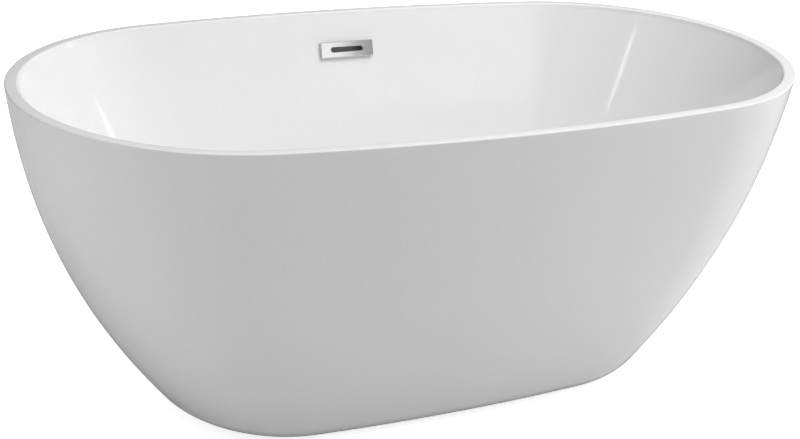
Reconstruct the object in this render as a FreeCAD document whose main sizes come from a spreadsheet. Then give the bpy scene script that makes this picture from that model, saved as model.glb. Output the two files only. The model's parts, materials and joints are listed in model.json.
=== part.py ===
import FreeCAD, Part
import os
import re

import Sketcher

# Freestanding double-walled bathtub. Millimetres, +Z up, +X along the length, overflow on the +Y side.
# The origin is on the floor under the middle of the rim.

Vector = FreeCAD.Vector
Constraint = Sketcher.Constraint

# Every driving dimension. Lengths in millimetres, angles in degrees, and each name has an underscore.
SIZES = {
    # outer shape
    "tub_length": 1400,
    "tub_width": 750,
    "tub_height": 580,
    "rim_side_radius": 3070,
    "base_length": 878,
    "base_width": 427,
    "base_side_radius": 3300,
    "end_lean": 0.279,
    "end_power": 2.3,
    "side_lean": 0.655,
    "side_power": 2.65,
    "curl_radius": 33,
    "skirt_gap": 3,
    # walls
    "acrylic_thickness": 4,
    "backing_thickness": 2.5,
    "rim_width": 19.5,
    "lip_height": 12,
    "rim_outer_round": 3.6,
    "rim_inner_round": 3,
    "bond_height": 14,
    "cut_standoff": 20,
    # bath inside
    "bath_depth": 440,
    "end_angle": 27,
    "side_angle": 18,
    "floor_radius": 90,
    "floor_side_radius": 2600,
    # board under the bath floor
    "board_length": 780,
    "board_width": 280,
    "board_thickness": 15,
    "board_side_radius": 2500,
    "board_drain_hole": 50,
    # steel frame
    "tube_side": 30,
    "tube_wall": 2,
    "rail_length": 700,
    "rail_spread": 83,
    "cross_spread": 320,
    "middle_cross": -130,
    "cap_thickness": 3,
    "screw_radius": 2.5,
    "screw_head_radius": 5,
    "screw_head_height": 2.5,
    "screw_head_taper": 0.8,
    "screw_bite": 10,
    "screw_pitch": 235,
    # bars that tie the skirt to the frame
    "tie_width": 40,
    "tie_thickness": 3,
    "tie_offset": 150,
    "side_tie_reach": 215,
    "end_tie_reach": 478,
    "pad_height": 30,
    "pad_depth": 60,
    # adjustable feet
    "foot_spread_long": 280,
    "foot_spread_wide": 120,
    "middle_foot": -167,
    "foot_radius": 25,
    "foot_top_radius": 14,
    "foot_disc_height": 6,
    "foot_cone_height": 14,
    "stud_radius": 5.95,
    "stud_bottom": 6,
    "stud_top": 117,
    "stud_chamfer": 1,
    "nut_flats": 19,
    "nut_height": 10,
    "nut_bore": 6,
    "nut_gap": 0.1,
    "bracket_length": 72,
    "bracket_width": 40,
    "bracket_thickness": 4,
    "bracket_hole": 6.5,
    # waste fitting
    "waste_hole": 26,
    "gasket_thickness": 1.5,
    "flange_radius": 35,
    "flange_edge": 1,
    "flange_thickness": 3,
    "seat_radius": 29,
    "throat_radius": 20,
    "throat_drop": 2.2,
    "shank_radius": 23.9,
    "shank_length": 50,
    "hub_radius": 8,
    "hub_height": 8,
    "hub_bore": 5,
    "spoke_width": 4,
    "lower_gasket_radius": 36,
    "lower_gasket_thickness": 3,
    "locknut_radius": 36,
    "locknut_height": 10,
    "locknut_taper": 3,
    "notch_width": 6,
    "notch_depth": 4,
    "tee_radius": 27,
    "tee_top": 112,
    "tee_shoulder": 50,
    "tee_bottom": 38,
    "tee_thread_bottom": 88,
    "tee_bore": 21,
    "tee_neck_radius": 24,
    "tee_socket_top": 58,
    "port_height": 68,
    "port_radius": 10.4,
    "port_bore": 9,
    "port_end": 72,
    "tail_radius": 20,
    "tail_bore": 18.2,
    "tail_bottom": 8,
    "tail_top": 57,
    "tail_neck": 19.5,
    "tail_neck_bottom": 31,
    "tail_slip": 0.1,
    "tail_nut_flats": 56,
    "tail_nut_bottom": 32,
    "tail_washer_bottom": 35.5,
    "washer_clearance": 0.5,
    # push stopper
    "cap_radius": 27.5,
    "cap_edge": 2,
    "cap_shoulder": 4,
    "cap_dome": 4.5,
    "seal_radius": 25,
    "seal_inner": 18,
    "seal_height": 2.5,
    "seal_clearance": 0.3,
    "cap_boss_radius": 10,
    "cap_boss_height": 9,
    "stem_radius": 3,
    "stem_socket": 3,
    "stem_foot_radius": 4.4,
    "stem_foot_height": 3,
    "barrel_radius": 7,
    "barrel_chamfer": 1,
    "barrel_bore": 4.5,
    "barrel_below_hub": 18,
    "collar_height": 14,
    "barrel_floor": 2,
    "barrel_mouth": 3.05,
    "spring_length": 13,
    "spring_radius": 3.2,
    "spring_wire": 0.4,
    "spring_turns": 7,
    "spring_end_gap": 0.2,
    # overflow
    "overflow_drop": 68.5,
    "slot_length": 66,
    "slot_height": 9,
    "cover_length": 107,
    "cover_height": 30,
    "cover_depth": 7,
    "cover_wall": 1.5,
    "cover_round": 1.2,
    "wall_clearance": 0.8,
    "mount_length": 98,
    "mount_height": 25,
    "mount_thickness": 2,
    "window_length": 70,
    "window_height": 13,
    "overflow_screw_spread": 41,
    "overflow_screw_radius": 2,
    "overflow_screw_head": 3.5,
    "overflow_screw_head_height": 1.2,
    "overflow_screw_length": 17,
    "chute_width": 90,
    "chute_wall": 1.6,
    "chute_top": 527,
    "chute_middle": 488,
    "chute_bottom": 412,
    "chute_top_depth": 9.5,
    "chute_middle_depth": 15,
    "chute_bottom_depth": 24,
    "chute_bottom_width": 30,
    "hose_radius": 12,
    "hose_bore": 10.5,
    "hose_start": 48,
    "hose_bend_start": 177,
    "hose_bend_radius": 50,
    "hose_end_reach": 318.4,
    "hose_end_height": 402,
    "spigot_length": 30,
    "clamp_thickness": 1.2,
    "clamp_width": 9,
    "clamp_set_back": 14,
}

doc = FreeCAD.newDocument("bathtub")
sheet = doc.addObject("Spreadsheet::Sheet", "Sizes")
for row, (alias, number) in enumerate(SIZES.items(), 1):
    sheet.set(f"A{row}", alias)
    sheet.set(f"B{row}", str(number))
    sheet.setAlias(f"B{row}", alias)
doc.recompute()

nodes = []


def bound(expression):
    """The expression with the sheet's name before each alias."""
    return re.sub(r"\b([a-z]+_\w+)", r"Sizes.\1", expression)


def value(expression):
    """What the expression comes to now."""
    return float(sheet.evalExpression(bound(expression)))


def part_node(thing):
    """Note a finished sub-part, which is written under its label."""
    nodes.append(thing)
    return thing


def place(thing, x="0", y="0", z="0"):
    """Bind an object's position to the sheet."""
    for axis, expression in zip("xyz", (x, y, z)):
        if expression != "0":
            thing.setExpression(f"Placement.Base.{axis}", bound(expression))


def lean(thing, angle):
    """Turn an object or an attached sketch about the X axis by an angle bound to the sheet."""
    attached = hasattr(thing, "AttachmentOffset")
    holder = "AttachmentOffset" if attached else "Placement"
    turn = FreeCAD.Rotation(Vector(1, 0, 0), value(angle))
    setattr(thing, holder, FreeCAD.Placement(Vector(0, 0, 0), turn))
    thing.setExpression(f"{holder}.Rotation.Angle", bound(angle))


def new_body(label):
    body = doc.addObject("PartDesign::Body", label)
    body.Label = label
    body.AllowCompound = True
    return part_node(body)


def sketch_on(body, name, role="XY_Plane", x="0", y="0", z="0"):
    """A sketch on one of the body's own origin planes, shifted in that plane and along its normal."""
    sketch = body.newObject("Sketcher::SketchObject", name)
    plane = next(f for f in body.Origin.OriginFeatures if f.Role == role)
    sketch.AttachmentSupport = [(plane, "")]
    sketch.MapMode = "FlatFace"
    for axis, expression in zip("xyz", (x, y, z)):
        if expression != "0":
            sketch.setExpression(f"AttachmentOffset.Base.{axis}", bound(expression))
    return sketch


def dimension(sketch, kind, where, expression):
    """Add a dimension to the sketch and bind it."""
    index = sketch.addConstraint(Constraint(kind, *where, value(expression)))
    sketch.setExpression(f"Constraints[{index}]", bound(expression))


def add_circle(sketch, radius):
    circle = sketch.addGeometry(Part.Circle(Vector(0, 0, 0), Vector(0, 0, 1), value(radius)), False)
    sketch.addConstraint(Constraint("Coincident", circle, 3, -1, 1))
    dimension(sketch, "Radius", (circle,), radius)


def add_loop(sketch, points):
    """Closed straight outline; returns the index of its first line."""
    lines = [Part.LineSegment(a, b) for a, b in zip(points, points[1:] + points[:1])]
    first = sketch.addGeometry(lines, False)[0]
    count = len(lines)
    for i in range(count):
        sketch.addConstraint(Constraint("Coincident", first + i, 2, first + (i + 1) % count, 1))
    return first


def add_rectangle(sketch, width, height):
    """Rectangle centred on the sketch's origin."""
    x, y = value(width) / 2, value(height) / 2
    first = add_loop(sketch, [Vector(-x, -y, 0), Vector(x, -y, 0), Vector(x, y, 0), Vector(-x, y, 0)])
    for i, kind in enumerate(("Horizontal", "Vertical", "Horizontal", "Vertical")):
        sketch.addConstraint(Constraint(kind, first + i))
    sketch.addConstraint(Constraint("Symmetric", first, 1, first + 2, 1, -1, 1))
    dimension(sketch, "DistanceX", (first, 1, first, 2), width)
    dimension(sketch, "DistanceY", (first + 1, 1, first + 1, 2), height)


def add_profile(sketch, corners):
    """Closed outline through corners given as (across, up) expressions, none of them negative."""
    points = [Vector(value(across), value(up), 0) for across, up in corners]
    first = add_loop(sketch, points)
    for i, (across, up) in enumerate(corners):
        for expression, kind, axis in ((across, "DistanceX", -2), (up, "DistanceY", -1)):
            if expression == "0":
                sketch.addConstraint(Constraint("PointOnObject", first + i, 1, axis))
            else:
                dimension(sketch, kind, (-1, 1, first + i, 1), expression)


def add_hexagon(sketch, flats):
    """Regular hexagon of a given width across its flats, centred on the sketch's origin."""
    radius = value(f"{flats} / sqrt(3)")
    turn = FreeCAD.Rotation(Vector(0, 0, 1), 60)
    points = [Vector(radius, 0, 0)]
    for _ in range(5):
        points.append(turn.multVec(points[-1]))
    first = add_loop(sketch, points)
    circle = sketch.addGeometry(Part.Circle(Vector(0, 0, 0), Vector(0, 0, 1), radius), True)
    sketch.addConstraint(Constraint("Coincident", circle, 3, -1, 1))
    sketch.addConstraint(Constraint("PointOnObject", first, 1, -1))
    for i in range(6):
        sketch.addConstraint(Constraint("PointOnObject", first + i, 1, circle))
    for i in range(1, 5):
        sketch.addConstraint(Constraint("Equal", first, first + i))
    dimension(sketch, "Radius", (circle,), f"{flats} / sqrt(3)")


def add_slot(sketch, length, height):
    """Level slot with round ends, centred on the sketch's origin."""
    reach, radius = value(f"({length} - {height}) / 2"), value(f"{height} / 2")
    quarter = value("pi") / 2
    right = Part.ArcOfCircle(Part.Circle(Vector(reach, 0, 0), Vector(0, 0, 1), radius), -quarter, quarter)
    left = Part.ArcOfCircle(Part.Circle(Vector(-reach, 0, 0), Vector(0, 0, 1), radius), quarter, 3 * quarter)
    top = Part.LineSegment(Vector(reach, radius, 0), Vector(-reach, radius, 0))
    bottom = Part.LineSegment(Vector(-reach, -radius, 0), Vector(reach, -radius, 0))
    r, t, l, b = sketch.addGeometry([right, top, left, bottom], False)
    for one, two in ((r, t), (t, l), (l, b), (b, r)):
        sketch.addConstraint(Constraint("Tangent", one, 2, two, 1))
    sketch.addConstraint(Constraint("Equal", r, l))
    sketch.addConstraint(Constraint("Symmetric", r, 3, l, 3, -1, 1))
    sketch.addConstraint(Constraint("Horizontal", t))
    dimension(sketch, "Radius", (r,), f"{height} / 2")
    dimension(sketch, "DistanceX", (l, 3, r, 3), f"{length} - {height}")


def add_oval(sketch, half_length, half_width, side_radius):
    """Four tangent arcs: two round ends joined by two long gentle sides."""
    a, b, side = value(half_length), value(half_width), value(side_radius)
    end = (2 * side * b - b * b - a * a) / (2 * (side - a))
    across = Vector(a - end, side - b, 0)
    lean = across.getAngle(Vector(1, 0, 0))
    half_turn = value("pi")
    arcs = []
    for x, y, radius, start, stop in (
        (a - end, 0, end, -lean, lean),
        (0, b - side, side, lean, half_turn - lean),
        (end - a, 0, end, half_turn - lean, half_turn + lean),
        (0, side - b, side, half_turn + lean, 2 * half_turn - lean),
    ):
        arcs.append(Part.ArcOfCircle(Part.Circle(Vector(x, y, 0), Vector(0, 0, 1), radius), start, stop))
    right, back, left, front = sketch.addGeometry(arcs, False)
    for one, two in ((right, back), (back, left), (left, front), (front, right)):
        sketch.addConstraint(Constraint("Tangent", one, 2, two, 1))
    sketch.addConstraint(Constraint("PointOnObject", right, 3, -1))
    sketch.addConstraint(Constraint("PointOnObject", back, 3, -2))
    sketch.addConstraint(Constraint("Symmetric", right, 3, left, 3, -1, 1))
    sketch.addConstraint(Constraint("Equal", back, front))
    tips = sketch.addGeometry([Part.Point(Vector(a, 0, 0)), Part.Point(Vector(0, b, 0))], True)
    for tip, arc, axis in ((tips[0], right, -1), (tips[1], back, -2)):
        sketch.addConstraint(Constraint("PointOnObject", tip, 1, arc))
        sketch.addConstraint(Constraint("PointOnObject", tip, 1, axis))
    dimension(sketch, "Radius", (back,), side_radius)
    dimension(sketch, "DistanceX", (-1, 1, tips[0], 1), half_length)
    dimension(sketch, "DistanceY", (-1, 1, tips[1], 1), half_width)


def add_feature(body, kind, sketch, length=None, backwards=False):
    """Pad or pocket of the sketch; a pocket that takes nothing away stops the script."""
    before = body.Shape.Volume if body.Tip else 0
    feature = body.newObject(f"PartDesign::{kind}", f"{sketch.Name}_{kind.lower()}")
    feature.Profile = sketch
    feature.setExpression("Length", bound(length))
    feature.Reversed = backwards
    doc.recompute()
    if kind == "Pocket" and body.Shape.Volume > before - 1:
        raise RuntimeError(f"{feature.Name} cuts nothing")
    return feature


def pad(body, sketch, length, backwards=False):
    return add_feature(body, "Pad", sketch, length, backwards)


def pocket(body, sketch, length, backwards=False):
    return add_feature(body, "Pocket", sketch, length, backwards)


def turned(label, corners):
    """A round piece, revolved about its own vertical axis from corners given as (radius, height)."""
    body = new_body(label)
    sketch = sketch_on(body, f"{label}_profile", "XZ_Plane")
    add_profile(sketch, corners)
    spin = body.newObject("PartDesign::Revolution", f"{label}_turned")
    spin.Profile = sketch
    spin.ReferenceAxis = (sketch, ["V_Axis"])
    spin.Angle = 360
    doc.recompute()
    return body


def ring(label, inner, outer, height):
    return turned(label, [(inner, "0"), (outer, "0"), (outer, height), (inner, height)])


def oval_stack(body, name, sections, kind, ruled=False):
    """Loft through oval sections given as (height, half length, half width, side radius)."""
    sketches = []
    for i, (height, half_length, half_width, side_radius) in enumerate(sections):
        sketch = sketch_on(body, f"{name}_section_{i}", z=height)
        add_oval(sketch, half_length, half_width, side_radius)
        sketches.append(sketch)
    doc.recompute()
    loft = body.newObject(f"PartDesign::{kind}Loft", name)
    loft.Profile = sketches[0]
    loft.Sections = sketches[1:]
    loft.Ruled = ruled
    doc.recompute()
    return loft


# ---- shapes of the two shells ----

def skirt_section(height, inset, extra="0"):
    """The tub's outer outline at a height, moved in by inset and by extra."""
    fall = f"(1 - ({height}) / tub_height)"
    end = f"(end_lean * {fall} + (1 - end_lean) * {fall} ^ end_power)"
    side = f"(side_lean * {fall} + (1 - side_lean) * {fall} ^ side_power)"
    return (
        height,
        f"tub_length / 2 - (tub_length - base_length) / 2 * {end} - ({inset}) - ({extra})",
        f"tub_width / 2 - (tub_width - base_width) / 2 * {side} - ({inset}) - ({extra})",
        f"rim_side_radius + (base_side_radius - rim_side_radius) * {fall} - ({inset}) - ({extra})",
    )


def curl_sections(inset):
    """The rounded edge that turns in under the skirt, a quarter circle in section."""
    sections = []
    for degrees in (0, 25, 45, 65, 90):
        height = f"skirt_gap + curl_radius - (curl_radius - ({inset})) * cos({degrees})"
        turn_in = f"(curl_radius - ({inset})) * (1 - sin({degrees}))"
        sections.append(skirt_section(height, inset, turn_in))
    return sections


def wall_sections(inset, top):
    """The skirt's wall, from the top of the curl to a height."""
    start = "(skirt_gap + curl_radius)"
    steps = 6
    return [
        skirt_section(f"{start} + ({top} - {start}) * {i} / {steps}", inset)
        for i in range(steps + 1)
    ]


def skirt_shell(body, name, outer, inner, top):
    """Skirt layer between two insets, open below and above."""
    oval_stack(body, f"{name}_curl", curl_sections(outer), "Additive")
    oval_stack(body, f"{name}_wall", wall_sections(outer, top), "Additive")
    oval_stack(body, f"{name}_inner_curl", curl_sections(inner), "Subtractive")
    oval_stack(body, f"{name}_inner_wall", wall_sections(inner, top), "Subtractive")
    mouth = sketch_on(body, f"{name}_mouth", z="curl_radius + skirt_gap")
    add_oval(mouth, *skirt_section("skirt_gap", "curl_radius")[1:])
    pocket(body, mouth, "curl_radius + skirt_gap")


def bath_reach(top, angle, height, offset):
    """How far the bath's surface, moved out by offset, is from the middle at a height over the floor."""
    foot = f"({top} - bath_depth * tan({angle}))"
    centre = f"({foot} + floor_radius * (tan({angle}) - 1 / cos({angle})))"
    drop = f"(floor_radius - ({height}))"
    radius = f"(floor_radius + {offset})"
    arc = f"{centre} + sqrt({radius} ^ 2 - {drop} ^ 2)"
    line = f"{foot} + ({height}) * tan({angle}) + {offset} / cos({angle})"
    return f"({drop} > {radius} * sin({angle}) ? {arc} : {line})"


def bath_section(height, offset):
    """The bath's inside outline at a height over its floor, moved out by offset."""
    side = "(rim_side_radius - rim_width - floor_side_radius)"
    return (
        f"tub_height - bath_depth + ({height})",
        bath_reach("(tub_length / 2 - rim_width)", "end_angle", height, offset),
        bath_reach("(tub_width / 2 - rim_width)", "side_angle", height, offset),
        f"floor_side_radius + {side} * ({height}) / bath_depth + {offset}",
    )


def bath_sections(offset, top):
    """Sections up the bath's wall, close together in the round corner above its floor."""
    heights = [f"-({offset})"]
    heights += [f"floor_radius * (1 - cos({degrees}))" for degrees in (20, 32, 44, 56, 64, 72)]
    corner = "floor_radius * (1 - cos(72))"
    heights += [f"{corner} + ({top} - {corner}) * {part}" for part in (0.33, 0.67, 1)]
    return [bath_section(height, offset) for height in heights]


def wall_frame_sketch(body, name):
    """A sketch inside the bath, facing the overflow's wall and tilted with it."""
    sketch = sketch_on(body, name)
    lean(sketch, "90 - side_angle")
    reach = f"{OVERFLOW_REACH} - cut_standoff * cos(side_angle)"
    height = f"{OVERFLOW_HEIGHT} + cut_standoff * sin(side_angle)"
    sketch.setExpression("AttachmentOffset.Base.y", bound(reach))
    sketch.setExpression("AttachmentOffset.Base.z", bound(height))
    return sketch


def cut_overflow_holes(body, name, depth):
    """The slot and the two screw holes of the overflow, cut square to the wall."""
    slot = wall_frame_sketch(body, f"{name}_overflow_slot")
    add_slot(slot, "window_length", "window_height")
    pocket(body, slot, f"cut_standoff + {depth}")
    for side, sign in (("left", "-"), ("right", "")):
        hole = wall_frame_sketch(body, f"{name}_screw_hole_{side}")
        hole.setExpression("AttachmentOffset.Base.x", bound(f"{sign}overflow_screw_spread"))
        add_circle(hole, "overflow_screw_radius")
        pocket(body, hole, f"cut_standoff + {depth}")


def on_overflow_wall(thing, depth):
    """Stand a piece on the overflow's wall, its own +Z pointing into the bath, at a height off the wall."""
    lean(thing, "90 - side_angle")
    place(
        thing,
        y=f"{OVERFLOW_REACH} - ({depth}) * cos(side_angle)",
        z=f"{OVERFLOW_HEIGHT} + ({depth}) * sin(side_angle)",
    )


OVERFLOW_HEIGHT = "(tub_height - overflow_drop)"
OVERFLOW_REACH = "(tub_width / 2 - rim_width - overflow_drop * tan(side_angle))"
FLOOR = "(tub_height - bath_depth)"
BOARD_TOP = f"({FLOOR} - acrylic_thickness - backing_thickness)"
FRAME_TOP = f"({BOARD_TOP} - board_thickness)"
FRAME_BOTTOM = f"({FRAME_TOP} - tube_side)"
BOTH_WALLS = "(acrylic_thickness + backing_thickness)"
HOSE_RISE = "(hose_end_height - port_height - hose_bend_radius)"
HOSE_RUN = "(hose_end_reach - hose_bend_start)"
HOSE_SPAN = f"sqrt({HOSE_RISE} ^ 2 + {HOSE_RUN} ^ 2)"
HOSE_LEAN = f"(atan({HOSE_RUN} / {HOSE_RISE}) - asin(hose_bend_radius / {HOSE_SPAN}))"
HOSE_TOP_REACH = f"(hose_end_reach - clamp_set_back * sin({HOSE_LEAN}))"
HOSE_TOP_HEIGHT = f"(hose_end_height - clamp_set_back * cos({HOSE_LEAN}))"


def make_basin():
    """The bath itself, one acrylic sheet: floor, walls, flat rim and the lip that meets the skirt."""
    body = new_body("basin")
    lip_bottom = "tub_height - lip_height"
    rim = [skirt_section(lip_bottom, "0"), skirt_section("tub_height", "0")]
    oval_stack(body, "rim_block", rim, "Additive")
    under = "tub_height - acrylic_thickness"
    hollow = [skirt_section(lip_bottom, "acrylic_thickness"), skirt_section(under, "acrylic_thickness")]
    oval_stack(body, "rim_hollow", hollow, "Subtractive")
    outside = bath_sections("acrylic_thickness", "bath_depth - acrylic_thickness / 2")
    oval_stack(body, "bath_outside", outside, "Additive", True)
    oval_stack(body, "bath_inside", bath_sections("0", "bath_depth"), "Subtractive", True)
    round_top_edges(body)
    cut_waste_hole(body, "basin")
    cut_overflow_holes(body, "basin", "cut_standoff")


def cut_waste_hole(body, name):
    """The round hole in the middle of the floor."""
    waste = sketch_on(body, f"{name}_waste_hole", z=f"{FLOOR} + cut_standoff")
    add_circle(waste, "waste_hole")
    pocket(body, waste, "2 * cut_standoff")


def round_top_edges(body):
    """Round the rim's inner and outer top edges, each with its own radius."""
    top = body.Shape.BoundBox.ZMax
    for name, outside in (("outer", True), ("inner", False)):
        base = body.Tip
        chosen = []
        for i, edge in enumerate(base.Shape.Edges, 1):
            point = edge.valueAt((edge.FirstParameter + edge.LastParameter) / 2)
            level = abs(point.z - top) < 0.01 and edge.BoundBox.ZLength < 0.01
            reach = rim_side(point)
            if level and (reach > 0) == outside:
                chosen.append(f"Edge{i}")
        fillet = body.newObject("PartDesign::Fillet", f"rim_{name}_fillet")
        fillet.Base = (base, chosen)
        fillet.setExpression("Radius", bound(f"rim_{name}_round"))
        doc.recompute()


def rim_side(point):
    """Above zero outside the middle line of the rim, below zero inside it."""
    inset = value("rim_width") / 2
    half_length, half_width, side = (value(size) - inset for size in skirt_section("tub_height", "0")[1:])
    end = (2 * side * half_width - half_width ** 2 - half_length ** 2) / (2 * (side - half_length))
    x, y = abs(point.x), abs(point.y)
    straight = side - half_width
    on_end = (x - (half_length - end)) * straight > y * (half_length - end)
    if on_end:
        return Vector(x - (half_length - end), y, 0).Length - end
    return Vector(x, y + straight, 0).Length - side


def make_backings():
    """Glass-fibre layers laid on the hidden faces of the bath and the skirt."""
    body = new_body("basin_backing")
    top = "bath_depth - lip_height - bond_height + acrylic_thickness"
    oval_stack(body, "backing_outside", bath_sections(BOTH_WALLS, top), "Additive", True)
    oval_stack(body, "backing_inside", bath_sections("acrylic_thickness", top), "Subtractive", True)
    cut_waste_hole(body, "backing")
    cut_overflow_holes(body, "backing", "cut_standoff")
    body = new_body("skirt_backing")
    top = "(tub_height - lip_height - bond_height + acrylic_thickness)"
    skirt_shell(body, "skirt_backing", "acrylic_thickness", BOTH_WALLS, top)


def make_skirt():
    """The outer wall, one acrylic sheet from the rim's lip to the edge that curls in above the floor."""
    body = new_body("outer_skirt")
    skirt_shell(body, "skirt", "0", "acrylic_thickness", "(tub_height - lip_height)")


def make_rim_bond():
    """The bead of adhesive under the rim, between the skirt and the bath."""
    body = new_body("rim_bond")
    bottom = "(tub_height - lip_height - bond_height + acrylic_thickness)"
    top = "(tub_height - acrylic_thickness)"
    block = [skirt_section(bottom, "acrylic_thickness"), skirt_section(top, "acrylic_thickness")]
    oval_stack(body, "bond_block", block, "Additive")
    heights = [f"({edge} - {FLOOR})" for edge in (bottom, top)]
    inside = [bath_section(height, "acrylic_thickness") for height in heights]
    oval_stack(body, "bond_inside", inside, "Subtractive")


# ---- board and frame ----

SCREW_ROWS = (("front", "-rail_spread"), ("back", "rail_spread"))


def row_of_holes(body, name, radius, y, z, depth):
    """Three round holes in a row along the length, cut downwards from a height."""
    hole = sketch_on(body, name, x="-screw_pitch", y=y, z=z)
    add_circle(hole, radius)
    first = pocket(body, hole, depth)
    row = body.newObject("PartDesign::LinearPattern", f"{name}_row")
    row.Originals = [first]
    row.Direction = (hole, ["H_Axis"])
    row.setExpression("Length", bound("2 * screw_pitch"))
    row.Occurrences = 3
    body.Tip = row
    doc.recompute()


def make_board():
    """Plywood board laid under the bath's floor, cut out round the waste."""
    body = new_body("base_board")
    outline = sketch_on(body, "board_outline", z=FRAME_TOP)
    add_oval(outline, "board_length / 2", "board_width / 2", "board_side_radius")
    pad(body, outline, "board_thickness")
    cutout = sketch_on(body, "board_cutout", z=BOARD_TOP)
    add_circle(cutout, "board_drain_hole")
    pocket(body, cutout, "board_thickness")
    hole_top = f"{FRAME_TOP} + screw_bite"
    for row, y in SCREW_ROWS:
        row_of_holes(body, f"board_hole_{row}", "screw_radius", y, hole_top, "screw_bite")


def box_tube(body, name, role, length):
    """Square tube centred on the body's origin, along the plane's normal."""
    section = sketch_on(body, f"{name}_section", role, z=f"-({length}) / 2")
    add_rectangle(section, "tube_side", "tube_side")
    add_rectangle(section, "tube_side - 2 * tube_wall", "tube_side - 2 * tube_wall")
    doc.recompute()
    pad(body, section, length)


def make_frame():
    """Two rails and three cross tubes, welded in one plane, with caps in the rails' ends."""
    level = f"{FRAME_BOTTOM} + tube_side / 2"
    for side, y in SCREW_ROWS:
        body = new_body(f"frame_rail_{side}")
        box_tube(body, f"rail_{side}", "YZ_Plane", "rail_length")
        row_of_holes(body, f"rail_hole_{side}", "screw_radius", "0", "tube_side", "2 * tube_side")
        place(body, y=y, z=level)
    for where, x in (("left", "-cross_spread"), ("middle", "middle_cross"), ("right", "cross_spread")):
        body = new_body(f"frame_cross_{where}")
        box_tube(body, f"cross_{where}", "XZ_Plane", "2 * rail_spread - tube_side")
        place(body, x=x, z=level)
    caps = []
    for side, y in SCREW_ROWS:
        for end, sign in (("left", "-"), ("right", "")):
            cap = doc.addObject("Part::Box", f"cap_{side}_{end}")
            cap.setExpression("Length", bound("cap_thickness"))
            cap.setExpression("Width", bound("tube_side"))
            cap.setExpression("Height", bound("tube_side"))
            outward = "-cap_thickness" if sign else "0"
            end_face = f"{sign}rail_length / 2 + {outward}"
            place(cap, x=end_face, y=f"{y} - tube_side / 2", z=FRAME_BOTTOM)
            caps.append(cap)
    group("frame_end_caps", caps)


def group(label, members):
    """Identical pieces that share one node."""
    compound = doc.addObject("Part::Compound", label)
    compound.Label = label
    compound.Links = members
    return part_node(compound)


def screw(name, radius, head_radius, head_height, length):
    """Plain screw: a head below and a shank up from it, on its own axis."""
    shank = doc.addObject("Part::Cylinder", f"{name}_shank")
    shank.setExpression("Radius", bound(radius))
    shank.setExpression("Height", bound(length))
    head = doc.addObject("Part::Cone", f"{name}_head")
    head.setExpression("Radius1", bound(f"{head_radius} * screw_head_taper"))
    head.setExpression("Radius2", bound(head_radius))
    head.setExpression("Height", bound(head_height))
    place(head, z=f"-({head_height})")
    whole = doc.addObject("Part::Fuse", name)
    whole.Base = shank
    whole.Tool = head
    return whole


def make_board_screws():
    """Screws that hold the board to the rails, up through both walls of each rail."""
    screws = []
    for row, y in SCREW_ROWS:
        for i, x in enumerate(("-screw_pitch", "0", "screw_pitch")):
            one = screw(
                f"board_screw_{row}_{i}",
                "screw_radius",
                "screw_head_radius",
                "screw_head_height",
                "tube_side + screw_bite",
            )
            place(one, x=x, y=y, z=FRAME_BOTTOM)
            screws.append(one)
    group("board_screws", screws)


def make_ties():
    """Flat bars from the frame to the skirt, each with a pad glued to the skirt's inside."""
    room = doc.addObject("PartDesign::Body", "skirt_room")
    oval_stack(room, "room_wall", wall_sections(BOTH_WALLS, "tub_height / 2"), "Additive")
    side_start = "(rail_spread - tube_side / 2)"
    end_start = "(cross_spread - tube_side / 2)"
    ties = (
        ("front", "tie_offset", "-1", "side", side_start, "side_tie_reach"),
        ("back", "tie_offset", "1", "side", side_start, "side_tie_reach"),
        ("left", "0", "-1", "end", end_start, "end_tie_reach"),
        ("right", "0", "1", "end", end_start, "end_tie_reach"),
    )
    pads = []
    for where, along, sign, facing, start, reach in ties:
        bar = doc.addObject("Part::Box", f"skirt_tie_{where}")
        bar.Label = f"skirt_tie_{where}"
        block = doc.addObject("Part::Box", f"pad_block_{where}")
        long_side, wide_side = ("Length", "Width") if facing == "end" else ("Width", "Length")
        bar.setExpression(long_side, bound(f"{reach} - {start}"))
        bar.setExpression(wide_side, bound("tie_width"))
        bar.setExpression("Height", bound("tie_thickness"))
        block.setExpression(long_side, bound("pad_depth"))
        block.setExpression(wide_side, bound("tie_width"))
        block.setExpression("Height", bound("pad_height"))
        bar_near = f"{start}" if sign == "1" else f"-{reach}"
        block_near = f"{reach}" if sign == "1" else f"-{reach} - pad_depth"
        across = f"{along} - tie_width / 2"
        bar_height = f"{FRAME_BOTTOM} - tie_thickness"
        block_height = f"{FRAME_BOTTOM} - tie_thickness / 2 - pad_height / 2"
        if facing == "end":
            place(bar, x=bar_near, y=across, z=bar_height)
            place(block, x=block_near, y=across, z=block_height)
        else:
            place(bar, x=across, y=bar_near, z=bar_height)
            place(block, x=across, y=block_near, z=block_height)
        part_node(bar)
        pad_piece = doc.addObject("Part::Common", f"skirt_pad_{where}")
        pad_piece.Base = block
        pad_piece.Tool = room
        pads.append(pad_piece)
    group("skirt_pads", pads)


# ---- feet ----

FEET = (
    ("front_left", "-foot_spread_long", "-foot_spread_wide", -90),
    ("front_right", "foot_spread_long", "-foot_spread_wide", -90),
    ("back_left", "-foot_spread_long", "foot_spread_wide", 90),
    ("back_right", "foot_spread_long", "foot_spread_wide", 90),
    ("middle", "middle_foot", "0", 180),
)


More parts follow.
